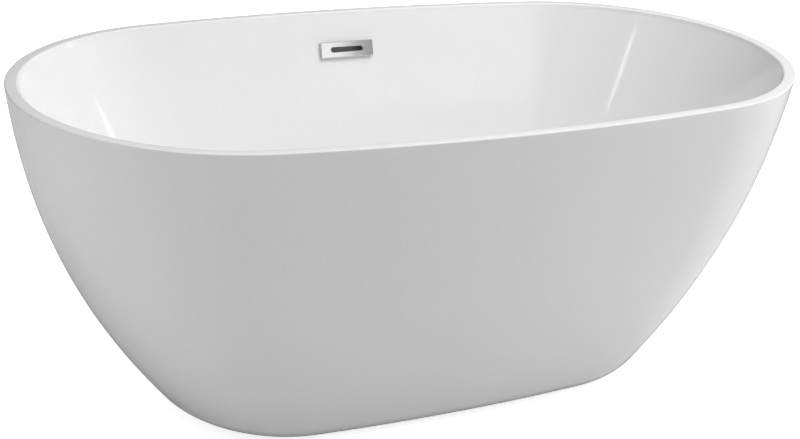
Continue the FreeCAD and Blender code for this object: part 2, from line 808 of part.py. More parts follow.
def make_foot(where, x, y, facing):
    """One levelling foot: pad, threaded stud, two nuts, and the bracket that they clamp."""
    pad_body = turned(
        f"foot_pad_{where}",
        [
            ("0", "0"),
            ("foot_radius", "0"),
            ("foot_radius", "foot_disc_height"),
            ("foot_top_radius", "foot_cone_height"),
            ("stud_radius", "foot_cone_height"),
            ("stud_radius", "stud_bottom"),
            ("0", "stud_bottom"),
        ],
    )
    place(pad_body, x=x, y=y)
    stud = turned(
        f"foot_stud_{where}",
        [
            ("0", "0"),
            ("stud_radius", "0"),
            ("stud_radius", "stud_top - stud_bottom - stud_chamfer"),
            ("stud_radius - stud_chamfer", "stud_top - stud_bottom"),
            ("0", "stud_top - stud_bottom"),
        ],
    )
    place(stud, x=x, y=y, z="stud_bottom")
    nuts = new_body(f"foot_nuts_{where}")
    lower = f"{FRAME_BOTTOM} - bracket_thickness - nut_gap - nut_height"
    for name, level in (("lower", lower), ("upper", f"{FRAME_BOTTOM} + nut_gap")):
        outline = sketch_on(nuts, f"{name}_nut_{where}", z=level)
        add_hexagon(outline, "nut_flats")
        add_circle(outline, "nut_bore")
        doc.recompute()
        pad(nuts, outline, "nut_height")
    place(nuts, x=x, y=y)
    bracket = new_body(f"foot_bracket_{where}")
    plate = sketch_on(bracket, f"bracket_plate_{where}", x="bracket_width / 2 - bracket_length / 2")
    add_rectangle(plate, "bracket_length", "bracket_width")
    pad(bracket, plate, "bracket_thickness")
    hole = sketch_on(bracket, f"bracket_hole_{where}", z="bracket_thickness")
    add_circle(hole, "bracket_hole")
    pocket(bracket, hole, "bracket_thickness")
    bracket.Placement = FreeCAD.Placement(Vector(0, 0, 0), FreeCAD.Rotation(Vector(0, 0, 1), facing))
    place(bracket, x=x, y=y, z=f"{FRAME_BOTTOM} - bracket_thickness")


# ---- waste fitting and its push stopper ----

FLANGE_TOP = f"({FLOOR} + gasket_thickness + flange_thickness)"
SHANK_BOTTOM = f"({FLANGE_TOP} - shank_length)"


def make_waste():
    """The waste: flange and shank through the floor, gaskets, locknut, tee, and the tail pipe below."""
    upper = ring("waste_gasket_upper", "waste_hole", "flange_radius - flange_edge", "gasket_thickness")
    place(upper, z=FLOOR)
    flange = turned(
        "waste_flange",
        [
            ("throat_radius", "0"),
            ("shank_radius", "0"),
            ("shank_radius", "shank_length - flange_thickness"),
            ("flange_radius", "shank_length - flange_thickness"),
            ("flange_radius", "shank_length - flange_edge"),
            ("flange_radius - flange_edge", "shank_length"),
            ("seat_radius", "shank_length"),
            ("seat_radius", "shank_length - flange_edge"),
            ("throat_radius", "shank_length - throat_drop"),
        ],
    )
    place(flange, z=SHANK_BOTTOM)
    hub = sketch_on(flange, "waste_hub")
    add_circle(hub, "hub_radius")
    doc.recompute()
    pad(flange, hub, "hub_height")
    spoke_length = "2 * throat_radius + flange_edge"
    for name, across, up in (("long", spoke_length, "spoke_width"), ("wide", "spoke_width", spoke_length)):
        spoke = sketch_on(flange, f"waste_spoke_{name}")
        add_rectangle(spoke, across, up)
        pad(flange, spoke, "hub_height / 2")
    bore = sketch_on(flange, "waste_hub_bore", z="hub_height")
    add_circle(bore, "hub_bore")
    pocket(flange, bore, "hub_height")
    under = f"{BOARD_TOP} - lower_gasket_thickness"
    lower = ring("waste_gasket_lower", "shank_radius", "lower_gasket_radius", "lower_gasket_thickness")
    place(lower, z=under)
    nut = turned(
        "waste_locknut",
        [
            ("shank_radius", "0"),
            ("locknut_radius - locknut_taper", "0"),
            ("locknut_radius", "locknut_height / 2"),
            ("locknut_radius", "locknut_height"),
            ("shank_radius", "locknut_height"),
        ],
    )
    place(nut, z=f"{under} - locknut_height")
    notch = sketch_on(nut, "locknut_notch", x="locknut_radius", z="locknut_height / 2")
    add_rectangle(notch, "notch_depth * 2", "notch_width")
    first = pocket(nut, notch, "locknut_height / 2")
    notches = nut.newObject("PartDesign::PolarPattern", "locknut_notches")
    notches.Originals = [first]
    turning_axis = next(f for f in nut.Origin.OriginFeatures if f.Role == "Z_Axis")
    notches.Axis = (turning_axis, [""])
    notches.Angle = 360
    notches.Occurrences = 6
    nut.Tip = notches
    doc.recompute()
    make_tee()
    tail = turned(
        "tail_pipe",
        [
            ("tail_bore", "0"),
            ("tail_radius", "0"),
            ("tail_radius", "tail_neck_bottom - tail_bottom"),
            ("tail_neck", "tail_neck_bottom - tail_bottom"),
            ("tail_neck", "tail_top - tail_bottom"),
            ("tail_bore", "tail_top - tail_bottom"),
        ],
    )
    place(tail, z="tail_bottom")
    washer_height = "tee_bottom - tail_washer_bottom"
    washer = ring("tail_washer", "tail_neck", "tee_neck_radius - washer_clearance", washer_height)
    place(washer, z="tail_washer_bottom")
    make_tail_nut()


def make_tee():
    """The body under the waste, with a side port that takes the overflow's hose."""
    tee = turned(
        "waste_tee",
        [
            ("tee_neck_radius", "0"),
            ("tee_neck_radius", "tee_shoulder - tee_bottom"),
            ("tee_radius", "tee_shoulder - tee_bottom"),
            ("tee_radius", "tee_top - tee_bottom"),
            ("shank_radius", "tee_top - tee_bottom"),
            ("shank_radius", "tee_thread_bottom - tee_bottom"),
            ("tee_bore", "tee_thread_bottom - tee_bottom"),
            ("tee_bore", "tee_socket_top - tee_bottom"),
            ("tail_neck + tail_slip", "tee_socket_top - tee_bottom"),
            ("tail_neck + tail_slip", "0"),
        ],
    )
    place(tee, z="tee_bottom")
    height = "port_height - tee_bottom"
    port = sketch_on(tee, "tee_port", "XZ_Plane", y=height, z="-port_end")
    add_circle(port, "port_radius")
    doc.recompute()
    pad(tee, port, "port_end - (tee_bore + tee_neck_radius) / 2")
    bore = sketch_on(tee, "tee_port_bore", "XZ_Plane", y=height, z="-port_end")
    add_circle(bore, "port_bore")
    doc.recompute()
    pocket(tee, bore, "port_end", backwards=True)


def make_tail_nut():
    """Six-sided slip nut that squeezes the washer on the tail pipe."""
    nut = new_body("tail_nut")
    outline = sketch_on(nut, "tail_nut_outline")
    add_hexagon(outline, "tail_nut_flats")
    doc.recompute()
    pad(nut, outline, "tee_shoulder - tail_nut_bottom")
    thread = sketch_on(nut, "tail_nut_thread", z="tee_shoulder - tail_nut_bottom")
    add_circle(thread, "tee_neck_radius")
    pocket(nut, thread, "tee_shoulder - tail_washer_bottom")
    mouth = sketch_on(nut, "tail_nut_mouth", z="tail_washer_bottom - tail_nut_bottom")
    add_circle(mouth, "tail_neck + tail_slip")
    pocket(nut, mouth, "tail_washer_bottom - tail_nut_bottom")
    place(nut, z="tail_nut_bottom")


def make_stopper():
    """The push stopper: cap, seal and stem that rise together, and the barrel and spring that carry them."""
    seal_level = f"({FLANGE_TOP} - flange_edge - seal_clearance)"
    cap_bottom = f"({seal_level} + seal_height)"
    barrel_bottom = f"({SHANK_BOTTOM} + hub_height - barrel_below_hub)"
    cap = turned(
        "stopper_cap",
        [
            ("0", "cap_boss_height - stem_socket"),
            ("stem_radius", "cap_boss_height - stem_socket"),
            ("stem_radius", "0"),
            ("cap_boss_radius", "0"),
            ("cap_boss_radius", "cap_boss_height"),
            ("cap_radius - cap_edge", "cap_boss_height"),
            ("cap_radius", "cap_boss_height + cap_edge"),
            ("cap_radius - cap_edge", "cap_boss_height + cap_edge * 1.5"),
            ("cap_radius / 2", "cap_boss_height + cap_shoulder"),
            ("0", "cap_boss_height + cap_dome"),
        ],
    )
    place(cap, z=f"{cap_bottom} - cap_boss_height")
    place(ring("stopper_seal", "seal_inner", "seal_radius", "seal_height"), z=seal_level)
    stem_bottom = f"({barrel_bottom} + barrel_floor + spring_length)"
    stem_top = f"({cap_bottom} - stem_socket)"
    stem = turned(
        "stopper_stem",
        [
            ("0", "0"),
            ("stem_foot_radius", "0"),
            ("stem_foot_radius", "stem_foot_height"),
            ("stem_radius", "stem_foot_height"),
            ("stem_radius", f"{stem_top} - {stem_bottom}"),
            ("0", f"{stem_top} - {stem_bottom}"),
        ],
    )
    place(stem, z=stem_bottom)
    hub_top = "barrel_below_hub"
    barrel = turned(
        "stopper_barrel",
        [
            ("0", "0"),
            ("hub_bore", "0"),
            ("hub_bore", hub_top),
            ("barrel_radius", hub_top),
            ("barrel_radius", f"{hub_top} + collar_height - barrel_chamfer"),
            ("barrel_radius - barrel_chamfer", f"{hub_top} + collar_height"),
            ("barrel_mouth", f"{hub_top} + collar_height"),
            ("barrel_mouth", f"{hub_top} + collar_height - barrel_floor"),
            ("barrel_bore", f"{hub_top} + collar_height - barrel_floor"),
            ("barrel_bore", "barrel_floor"),
            ("0", "barrel_floor"),
        ],
    )
    place(barrel, z=barrel_bottom)
    make_spring(barrel_bottom)


def make_spring(barrel_bottom):
    """Compression spring in the barrel, under the stem; a helix swept with round wire."""
    wire, radius = value("spring_wire"), value("spring_radius")
    length = value("spring_length - 2 * spring_wire - 2 * spring_end_gap")
    helix = Part.makeHelix(length / value("spring_turns"), length, radius)
    start = Part.Wire(Part.makeCircle(wire, Vector(radius, 0, 0), Vector(0, 1, 0)))
    coil = Part.Wire(helix.Edges).makePipeShell([start], True, True)
    spring = doc.addObject("Part::Feature", "stopper_spring")
    spring.Label = "stopper_spring"
    spring.Shape = coil
    place(spring, z=f"{barrel_bottom} + barrel_floor + spring_wire + spring_end_gap")
    part_node(spring)


# ---- overflow ----

def wall_plate(label, length, height, thickness, window_length, window_height, depth):
    """A flat layer on the overflow's wall, with the slot and the two screw holes through it."""
    body = new_body(label)
    outline = sketch_on(body, f"{label}_outline")
    add_rectangle(outline, length, height)
    pad(body, outline, thickness)
    slot = sketch_on(body, f"{label}_slot", z=thickness)
    add_slot(slot, window_length, window_height)
    pocket(body, slot, thickness)
    for side, sign in (("left", "-"), ("right", "")):
        hole = sketch_on(body, f"{label}_hole_{side}", x=f"{sign}overflow_screw_spread", z=thickness)
        add_circle(hole, "overflow_screw_radius")
        pocket(body, hole, thickness)
    on_overflow_wall(body, depth)
    return body


def make_overflow():
    """The slotted cover on the bath's wall, its mount, gaskets and screws, and the chute behind the wall."""
    window = ("window_length", "window_height")
    gasket = "gasket_thickness"
    wall_plate("overflow_gasket_front", "mount_length", "mount_height", gasket, *window, "wall_clearance")
    on_gasket = f"wall_clearance + {gasket}"
    wall_plate("overflow_mount", "mount_length", "mount_height", "mount_thickness", *window, on_gasket)
    behind = f"-{BOTH_WALLS} - {gasket}"
    wall_plate("overflow_gasket_rear", "chute_width", "mount_height", gasket, *window, behind)
    make_cover()
    screws = []
    head_level = f"{on_gasket} + mount_thickness"
    for side, sign in (("left", "-"), ("right", "")):
        one = screw(
            f"overflow_screw_{side}",
            "overflow_screw_radius",
            "overflow_screw_head",
            "overflow_screw_head_height",
            "overflow_screw_length",
        )
        lean(one, "-90 - side_angle")
        place(
            one,
            x=f"{sign}overflow_screw_spread",
            y=f"{OVERFLOW_REACH} - ({head_level}) * cos(side_angle)",
            z=f"{OVERFLOW_HEIGHT} + ({head_level}) * sin(side_angle)",
        )
        screws.append(one)
    group("overflow_screws", screws)
    make_chute()
    make_hose()


def make_cover():
    """Hollow plated cover, open towards the wall, with one long slot."""
    cover = new_body("overflow_cover")
    outline = sketch_on(cover, "cover_outline")
    add_rectangle(outline, "cover_length", "cover_height")
    pad(cover, outline, "cover_depth - wall_clearance")
    base = cover.Tip
    front = value("cover_depth - wall_clearance")
    edges = [
        f"Edge{i}"
        for i, edge in enumerate(base.Shape.Edges, 1)
        if edge.BoundBox.ZMax > front - 0.01
    ]
    rounding = cover.newObject("PartDesign::Fillet", "cover_rounding")
    rounding.Base = (base, edges)
    rounding.setExpression("Radius", bound("cover_round"))
    doc.recompute()
    hollow = sketch_on(cover, "cover_hollow")
    add_rectangle(hollow, "cover_length - 2 * cover_wall", "cover_height - 2 * cover_wall")
    pocket(cover, hollow, "cover_depth - wall_clearance - cover_wall", backwards=True)
    slot = sketch_on(cover, "cover_slot", z="cover_depth")
    add_slot(slot, "slot_length", "slot_height")
    pocket(cover, slot, "cover_depth")
    on_overflow_wall(cover, "wall_clearance")


def chute_section(body, name, height, width, depth, inset):
    """Level rectangle whose front edge lies along the back of the rear gasket."""
    layers = f"({BOTH_WALLS} + gasket_thickness)"
    wall = f"(tub_width / 2 - rim_width - (tub_height - {height}) * tan(side_angle))"
    across = f"{wall} + {layers} / cos(side_angle) + {depth} / 2"
    sketch = sketch_on(body, name, y=across, z=height)
    add_rectangle(sketch, f"{width} - 2 * {inset}", f"{depth} - 2 * {inset}")
    return sketch


def chute_loft(body, name, kind, inset, top, bottom):
    levels = (
        ("top", top, "chute_width", "chute_top_depth"),
        ("middle", "chute_middle", "chute_width", "chute_middle_depth"),
        ("bottom", bottom, "chute_bottom_width", "chute_bottom_depth"),
    )
    sketches = [
        chute_section(body, f"{name}_{level}", height, width, depth, inset)
        for level, height, width, depth in levels
    ]
    doc.recompute()
    loft = body.newObject(f"PartDesign::{kind}Loft", name)
    loft.Profile = sketches[0]
    loft.Sections = sketches[1:]
    loft.Ruled = True
    doc.recompute()


def spigot_sketch(chute, name, radius):
    """A circle at the top end of the hose, square to it."""
    sketch = sketch_on(chute, name)
    lean(sketch, f"-{HOSE_LEAN}")
    sketch.setExpression("AttachmentOffset.Base.y", bound(HOSE_TOP_REACH))
    sketch.setExpression("AttachmentOffset.Base.z", bound(HOSE_TOP_HEIGHT))
    add_circle(sketch, radius)
    return sketch


def make_chute():
    """Flat funnel between the two walls, from the overflow's slot down to the hose."""
    chute = new_body("overflow_chute")
    chute_loft(chute, "chute_outside", "Additive", "0", "chute_top", "chute_bottom")
    spigot = spigot_sketch(chute, "chute_spigot", "port_radius")
    bore = spigot_sketch(chute, "chute_spigot_bore", "port_bore")
    doc.recompute()
    pad(chute, spigot, "spigot_length")
    inner_top = "(chute_top - chute_wall)"
    inner_bottom = "(chute_bottom + chute_wall)"
    chute_loft(chute, "chute_inside", "Subtractive", "chute_wall", inner_top, inner_bottom)
    pocket(chute, bore, "spigot_length", backwards=True)
    cut_overflow_holes(chute, "chute", f"({BOTH_WALLS} + 2 * gasket_thickness + chute_wall)")


def make_hose():
    """Overflow hose: level from the tee, one bend, then up between the walls to the chute; and its clamps."""
    hose = new_body("overflow_hose")
    path = sketch_on(hose, "hose_path", "YZ_Plane")
    low, start, turn = value("port_height"), value("hose_start"), value("hose_bend_start")
    radius = value("hose_bend_radius")
    rising = value(f"{HOSE_LEAN} * pi / 180")
    top = Vector(value("hose_end_reach"), value("hose_end_height"), 0)
    centre = Vector(turn, low + radius, 0)
    bend = Part.ArcOfCircle(Part.Circle(centre, Vector(0, 0, 1), radius), -value("pi") / 2, -rising)
    level = Part.LineSegment(Vector(start, low, 0), Vector(turn, low, 0))
    rise = Part.LineSegment(bend.EndPoint, top)
    one, two, three = path.addGeometry([level, bend, rise], False)
    path.addConstraint(Constraint("Tangent", one, 2, two, 1))
    path.addConstraint(Constraint("Tangent", two, 2, three, 1))
    path.addConstraint(Constraint("Horizontal", one))
    dimension(path, "DistanceX", (-1, 1, one, 1), "hose_start")
    dimension(path, "DistanceY", (-1, 1, one, 1), "port_height")
    dimension(path, "DistanceX", (-1, 1, two, 1), "hose_bend_start")
    dimension(path, "Radius", (two,), "hose_bend_radius")
    dimension(path, "DistanceY", (-1, 1, three, 2), "hose_end_height")
    section = sketch_on(hose, "hose_section", "XZ_Plane", y="port_height", z="-hose_start")
    add_circle(section, "hose_radius")
    add_circle(section, "hose_bore")
    doc.recompute()
    dimension(path, "DistanceX", (-1, 1, three, 2), "hose_end_reach")
    sweep = hose.newObject("PartDesign::AdditivePipe", "hose_sweep")
    sweep.Profile = section
    sweep.Spine = (path, ["Edge1", "Edge2", "Edge3"])
    doc.recompute()
    clamps = []
    for name in ("low", "high"):
        outer = doc.addObject("Part::Cylinder", f"clamp_band_{name}")
        outer.setExpression("Radius", bound("hose_radius + clamp_thickness"))
        outer.setExpression("Height", bound("clamp_width"))
        inner = doc.addObject("Part::Cylinder", f"clamp_inside_{name}")
        inner.setExpression("Radius", bound("hose_radius"))
        inner.setExpression("Height", bound("clamp_width"))
        clamp = doc.addObject("Part::Cut", f"hose_clamp_{name}")
        clamp.Base = outer
        clamp.Tool = inner
        clamps.append(clamp)
    low_clamp, high_clamp = clamps
    lean(low_clamp, "-90")
    place(low_clamp, y="hose_start + clamp_width / 2", z="port_height")
    lean(high_clamp, f"-{HOSE_LEAN}")
    place(high_clamp, y=HOSE_TOP_REACH, z=HOSE_TOP_HEIGHT)
    group("hose_clamps", clamps)


make_basin()
make_skirt()
make_backings()
make_rim_bond()
make_board()
make_frame()
make_board_screws()
make_ties()
for foot in FEET:
    make_foot(*foot)
make_waste()
make_stopper()
make_overflow()
doc.recompute()

broken = [thing.Name for thing in doc.Objects if {"Invalid", "Error"} & set(thing.State)]
broken += [node.Label for node in nodes if node.Shape.isNull() or not node.Shape.isValid()]
if broken:
    raise RuntimeError(f"failed objects: {broken}")
os.makedirs("parts", exist_ok=True)
for node in nodes:
    node.Shape.exportStep(f"parts/{node.Label}.step")
print(len(nodes), "nodes written")
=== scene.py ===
import json
import math

import bmesh
import bpy
from mathutils import Matrix, Vector


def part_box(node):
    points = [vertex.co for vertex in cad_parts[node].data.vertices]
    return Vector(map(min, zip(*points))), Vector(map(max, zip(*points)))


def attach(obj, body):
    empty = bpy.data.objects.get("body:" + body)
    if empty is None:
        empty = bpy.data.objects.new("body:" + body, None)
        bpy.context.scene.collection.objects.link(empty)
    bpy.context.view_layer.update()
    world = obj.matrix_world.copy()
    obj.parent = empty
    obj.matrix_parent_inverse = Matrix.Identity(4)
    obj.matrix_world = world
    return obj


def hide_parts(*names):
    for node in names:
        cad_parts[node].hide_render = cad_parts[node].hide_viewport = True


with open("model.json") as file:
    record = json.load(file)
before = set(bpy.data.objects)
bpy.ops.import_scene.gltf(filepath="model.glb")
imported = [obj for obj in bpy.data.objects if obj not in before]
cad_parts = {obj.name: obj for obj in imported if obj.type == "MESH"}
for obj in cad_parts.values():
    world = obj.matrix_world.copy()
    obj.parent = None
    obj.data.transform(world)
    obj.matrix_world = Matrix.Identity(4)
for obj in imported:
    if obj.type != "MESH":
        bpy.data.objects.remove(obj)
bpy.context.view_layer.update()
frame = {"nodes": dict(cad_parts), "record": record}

# Freestanding double-walled bathtub, in metres: +X along the length, +Y towards the overflow, +Z up.

TAU = 2 * math.pi

# ---- shape of the two shells; the same outline that the CAD sections follow ----

HALF_LENGTH = 0.700
HALF_WIDTH = 0.375
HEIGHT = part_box("basin")[1].z
RIM_SIDE_RADIUS = 3.070
BASE_HALF_LENGTH = 0.439
BASE_HALF_WIDTH = 0.2135
BASE_SIDE_RADIUS = 3.300
END_LEAN, END_POWER = 0.279, 2.3
SIDE_LEAN, SIDE_POWER = 0.655, 2.65
CURL_RADIUS = 0.033
SKIRT_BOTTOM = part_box("outer_skirt")[0].z
SEAM_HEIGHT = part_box("outer_skirt")[1].z
ACRYLIC = 0.004
BACKING = 0.0025
RIM_WIDTH = 0.0195
RIM_OUTER_ROUND = 0.0026
RIM_INNER_ROUND = 0.004
FLOOR_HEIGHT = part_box("waste_gasket_upper")[0].z
BATH_DEPTH = HEIGHT - FLOOR_HEIGHT
END_ANGLE = math.radians(27)
SIDE_ANGLE = math.radians(18)
FLOOR_RADIUS = 0.090
# how far round the corner between floor and wall has rings of its own
CORNER_SWEEP = math.radians(72)
FLOOR_SIDE_RADIUS = 2.600
WASTE_HOLE = 0.026

# samples round a quarter of an oval: along its round end and along its long side
END_SAMPLES = 44
SIDE_SAMPLES = 52
# rings of the skirt: round its curled edge, and up its wall
CURL_RINGS = 14
SKIRT_RINGS = 64
# rings of the bath: floor, round corner, wall, the rim's two edges, and the floor's underside
FLOOR_RINGS = 14
CORNER_RINGS = 22
WALL_RINGS = 48
INNER_EDGE_RINGS = 8
OUTER_EDGE_RINGS = 10
UNDER_RINGS = 6


def oval(half_length, half_width, side_radius, height):
    """Closed ring of points on four tangent arcs, the same number in each arc at every height."""
    end = 2 * side_radius * half_width - half_width ** 2 - half_length ** 2
    end /= 2 * (side_radius - half_length)
    join = math.atan2(side_radius - half_width, half_length - end)
    quarter = []
    for i in range(END_SAMPLES):
        angle = join * i / END_SAMPLES
        quarter.append((half_length - end + end * math.cos(angle), end * math.sin(angle)))
    for i in range(SIDE_SAMPLES):
        angle = join + (math.pi / 2 - join) * i / SIDE_SAMPLES
        across = half_width - side_radius + side_radius * math.sin(angle)
        quarter.append((side_radius * math.cos(angle), across))
    tip, top = quarter[0], (0.0, half_width)
    ring = quarter + [top] + [(-x, y) for x, y in reversed(quarter[1:])]
    ring += [(-tip[0], 0.0)] + [(-x, -y) for x, y in quarter[1:]]
    ring += [(0.0, -half_width)] + [(x, -y) for x, y in reversed(quarter[1:])]
    return [Vector((x, y, height)) for x, y in ring]


def skirt_ring(height, inset=0.0):
    """The tub's outer outline at a height, moved in by inset."""
    fall = max(0.0, 1 - height / HEIGHT)
    end = END_LEAN * fall + (1 - END_LEAN) * fall ** END_POWER
    side = SIDE_LEAN * fall + (1 - SIDE_LEAN) * fall ** SIDE_POWER
    return oval(
        HALF_LENGTH - (HALF_LENGTH - BASE_HALF_LENGTH) * end - inset,
        HALF_WIDTH - (HALF_WIDTH - BASE_HALF_WIDTH) * side - inset,
        RIM_SIDE_RADIUS + (BASE_SIDE_RADIUS - RIM_SIDE_RADIUS) * fall - inset,
        height,
    )


def bath_reach(top, angle, height, offset):
    """How far the bath's surface, moved out by offset, is from the middle at a height over the floor."""
    foot = top - BATH_DEPTH * math.tan(angle)
    centre = foot + FLOOR_RADIUS * (math.tan(angle) - 1 / math.cos(angle))
    drop = FLOOR_RADIUS - height
    radius = FLOOR_RADIUS + offset
    if drop > radius * math.sin(angle):
        return centre + math.sqrt(max(0.0, radius ** 2 - drop ** 2))
    return foot + height * math.tan(angle) + offset / math.cos(angle)


def bath_ring(height, offset=0.0, inset=0.0):
    """The bath's inside outline at a height over its floor, moved out by offset or in by inset."""
    side = FLOOR_SIDE_RADIUS + (RIM_SIDE_RADIUS - RIM_WIDTH - FLOOR_SIDE_RADIUS) * height / BATH_DEPTH
    return oval(
        bath_reach(HALF_LENGTH - RIM_WIDTH, END_ANGLE, height, offset) - inset,
        bath_reach(HALF_WIDTH - RIM_WIDTH, SIDE_ANGLE, height, offset) - inset,
        side + offset - inset,
        FLOOR_HEIGHT + height,
    )


def spread(start, stop, count):
    """count + 1 evenly spaced values from start to stop."""
    return [start + (stop - start) * i / count for i in range(count + 1)]


# ---- mesh helpers ----

# edges that turn by more degrees than this are shaded as sharp, unless a piece says otherwise
SHARP_EDGE = 40
# ribs show on a turned shape beyond this part of its largest radius
RIBBED_SHARE = 0.93


def new_piece(name, points, faces, body, slot, replaced, sharp=SHARP_EDGE):
    """A mesh piece with its slot's material, on a CAD body, which stands for CAD nodes."""
    mesh = bpy.data.meshes.new(name)
    mesh.from_pydata(points, [], faces)
    shape = bmesh.new()
    shape.from_mesh(mesh)
    bmesh.ops.recalc_face_normals(shape, faces=shape.faces)
    for face in shape.faces:
        face.smooth = True
    for edge in shape.edges:
        if len(edge.link_faces) == 2 and edge.calc_face_angle(0) > math.radians(sharp):
            edge.smooth = False
    shape.to_mesh(mesh)
    shape.free()
    mesh.materials.append(MATERIALS[slot])
    piece = bpy.data.objects.new(name, mesh)
    bpy.context.scene.collection.objects.link(piece)
    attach(piece, body)
    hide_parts(*replaced)
    return piece


def band(rings, closed=True):
    """Points and faces of rings joined in order; closed joins the last to the first."""
    count = len(rings[0])
    points = [p for ring in rings for p in ring]
    faces = []
    pairs = len(rings) if closed else len(rings) - 1
    for i in range(pairs):
        a, b = i * count, (i + 1) % len(rings) * count
        for j in range(count):
            k = (j + 1) % count
            faces.append((a + j, a + k, b + k, b + j))
    if not closed:
        faces.append(tuple(range(count))[::-1])
        last = (len(rings) - 1) * count
        faces.append(tuple(range(last, last + count)))
    return points, faces


def circle_like(ring, radius, height):
    """A circle with as many points as the ring, each in the direction of its fellow."""
    return [Vector((p.x, p.y, 0)).normalized() * radius + Vector((0, 0, height)) for p in ring]


def mix_rings(one, two, share):
    """The ring that lies a share of the way from one ring to another."""
    return [a.lerp(b, share) for a, b in zip(one, two)]


def arc(centre_radius, centre_height, radius, start, stop, count):
    """(radius, height) pairs of a round edge, between two angles in degrees from the level."""
    angles = [math.radians(a) for a in spread(start, stop, count)]
    return [(centre_radius + radius * math.cos(a), centre_height + radius * math.sin(a)) for a in angles]


def around(middle, radius, angle, height):
    """The point at a radius, a direction and a height from an upright axis."""
    x, y = middle
    return Vector((x + radius * math.cos(angle), y + radius * math.sin(angle), height))


def turned(profile, middle=(0, 0), samples=96, ribs=0, rib_depth=0.0):
    """Rings of a turned shape from (radius, height) pairs; ribs wave its outermost rings."""
    widest = max(radius for radius, _ in profile)
    rings = []
    for radius, height in profile:
        wave = rib_depth if radius > RIBBED_SHARE * widest else 0.0
        ring = []
        for i in range(samples):
            angle = TAU * i / samples
            reach = radius - wave * (0.5 + 0.5 * math.cos(ribs * angle))
            ring.append(around(middle, reach, angle, height))
        rings.append(ring)
    return rings


def middle_of(node):
    """Where a CAD node's upright middle line is."""
    low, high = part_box(node)
    return (low.x + high.x) / 2, (low.y + high.y) / 2


# ---- materials ----

def material_nodes(name, **sockets):
    """A new material's tree and its shader, with even values set on the shader's own sockets."""
    material = bpy.data.materials.new(name)
    material.use_nodes = True
    tree = material.node_tree
    shader = tree.nodes["Principled BSDF"]
    for socket, value in sockets.items():
        shader.inputs[socket.replace("_", " ")].default_value = value
    return material, tree, shader


def add_node(tree, kind, inputs=None, **settings):
    """A new node; its inputs are values, or other nodes' outputs to link."""
    node = tree.nodes.new(kind)
    for key, value in settings.items():
        setattr(node, key, value)
    for key, value in (inputs or {}).items():
        if hasattr(value, "links"):
            tree.links.new(value, node.inputs[key])
        else:
            node.inputs[key].default_value = value
    return node


def object_point(tree, scale=(1, 1, 1)):
    """Object coordinates, stretched."""
    where = add_node(tree, "ShaderNodeTexCoord")
    mapping = add_node(tree, "ShaderNodeMapping", {"Vector": where.outputs["Object"], "Scale": scale})
    return mapping.outputs["Vector"]


def noise(tree, scale, detail=3.0, roughness=0.5, stretch=(1, 1, 1)):
    """Noise in object space, from 0 to 1."""
    where = object_point(tree, stretch)
    inputs = {"Vector": where, "Scale": scale, "Detail": detail, "Roughness": roughness}
    return add_node(tree, "ShaderNodeTexNoise", inputs).outputs["Fac"]


def ramp(tree, factor, stops):
    """Colour ramp through (place, colour) stops."""
    node = add_node(tree, "ShaderNodeValToRGB", {"Fac": factor})
    elements = node.color_ramp.elements
    while len(elements) < len(stops):
        elements.new(0.5)
    for element, (place, colour) in zip(elements, stops):
        element.position = place
        element.color = (*colour, 1)
    return node.outputs["Color"]


def between(tree, factor, low, high):
    """The factor's 0 to 1 mapped to low to high."""
    inputs = {"Value": factor, "To Min": low, "To Max": high}
    return add_node(tree, "ShaderNodeMapRange", inputs).outputs["Result"]


def bump(tree, shader, height, strength, distance):
    """Raise the shader's surface by a height pattern."""
    inputs = {"Height": height, "Strength": strength, "Distance": distance}
    node = add_node(tree, "ShaderNodeBump", inputs)
    tree.links.new(node.outputs["Normal"], shader.inputs["Normal"])


def feed(tree, shader, **sources):
    """Link patterns to the shader's sockets."""
    for socket, source in sources.items():
        tree.links.new(source, shader.inputs[socket.replace("_", " ")])


def acrylic_material():
    """Polished white sanitary acrylic: barely uneven white, faint waviness in the gloss."""
    material, tree, shader = material_nodes(
        "acrylic", IOR=1.49, Coat_Weight=0.35, Coat_Roughness=0.03, Coat_IOR=1.49
    )
    cloud = noise(tree, 3.0, 4.0)
    tint = ramp(tree, cloud, ((0.3, (0.880, 0.880, 0.884)), (0.7, (0.895, 0.895, 0.897))))
    polish = between(tree, noise(tree, 22.0, 3.0), 0.10, 0.15)
    feed(tree, shader, Base_Color=tint, Roughness=polish)
    bump(tree, shader, noise(tree, 60.0, 2.0), 0.02, 0.0004)
    return material


def glass_fibre_material():
    """Chopped glass strands in resin: short pale fibres over a yellowish ground."""
    material, tree, shader = material_nodes("glass_fibre", IOR=1.5)
    strands = noise(tree, 1.0, 2.0, 0.6, (40, 400, 60))
    for stretch in ((400, 40, 60), (200, 180, 500)):
        inputs = {0: strands, 1: noise(tree, 1.0, 2.0, 0.6, stretch)}
        strands = add_node(tree, "ShaderNodeMath", inputs, operation="MAXIMUM").outputs[0]
    stops = ((0.45, (0.46, 0.44, 0.32)), (0.62, (0.66, 0.64, 0.52)), (0.75, (0.80, 0.79, 0.70)))
    tint = ramp(tree, strands, stops)
    feed(tree, shader, Base_Color=tint, Roughness=between(tree, strands, 0.35, 0.7))
    bump(tree, shader, strands, 0.6, 0.0012)
    return material


PLY = 0.0030


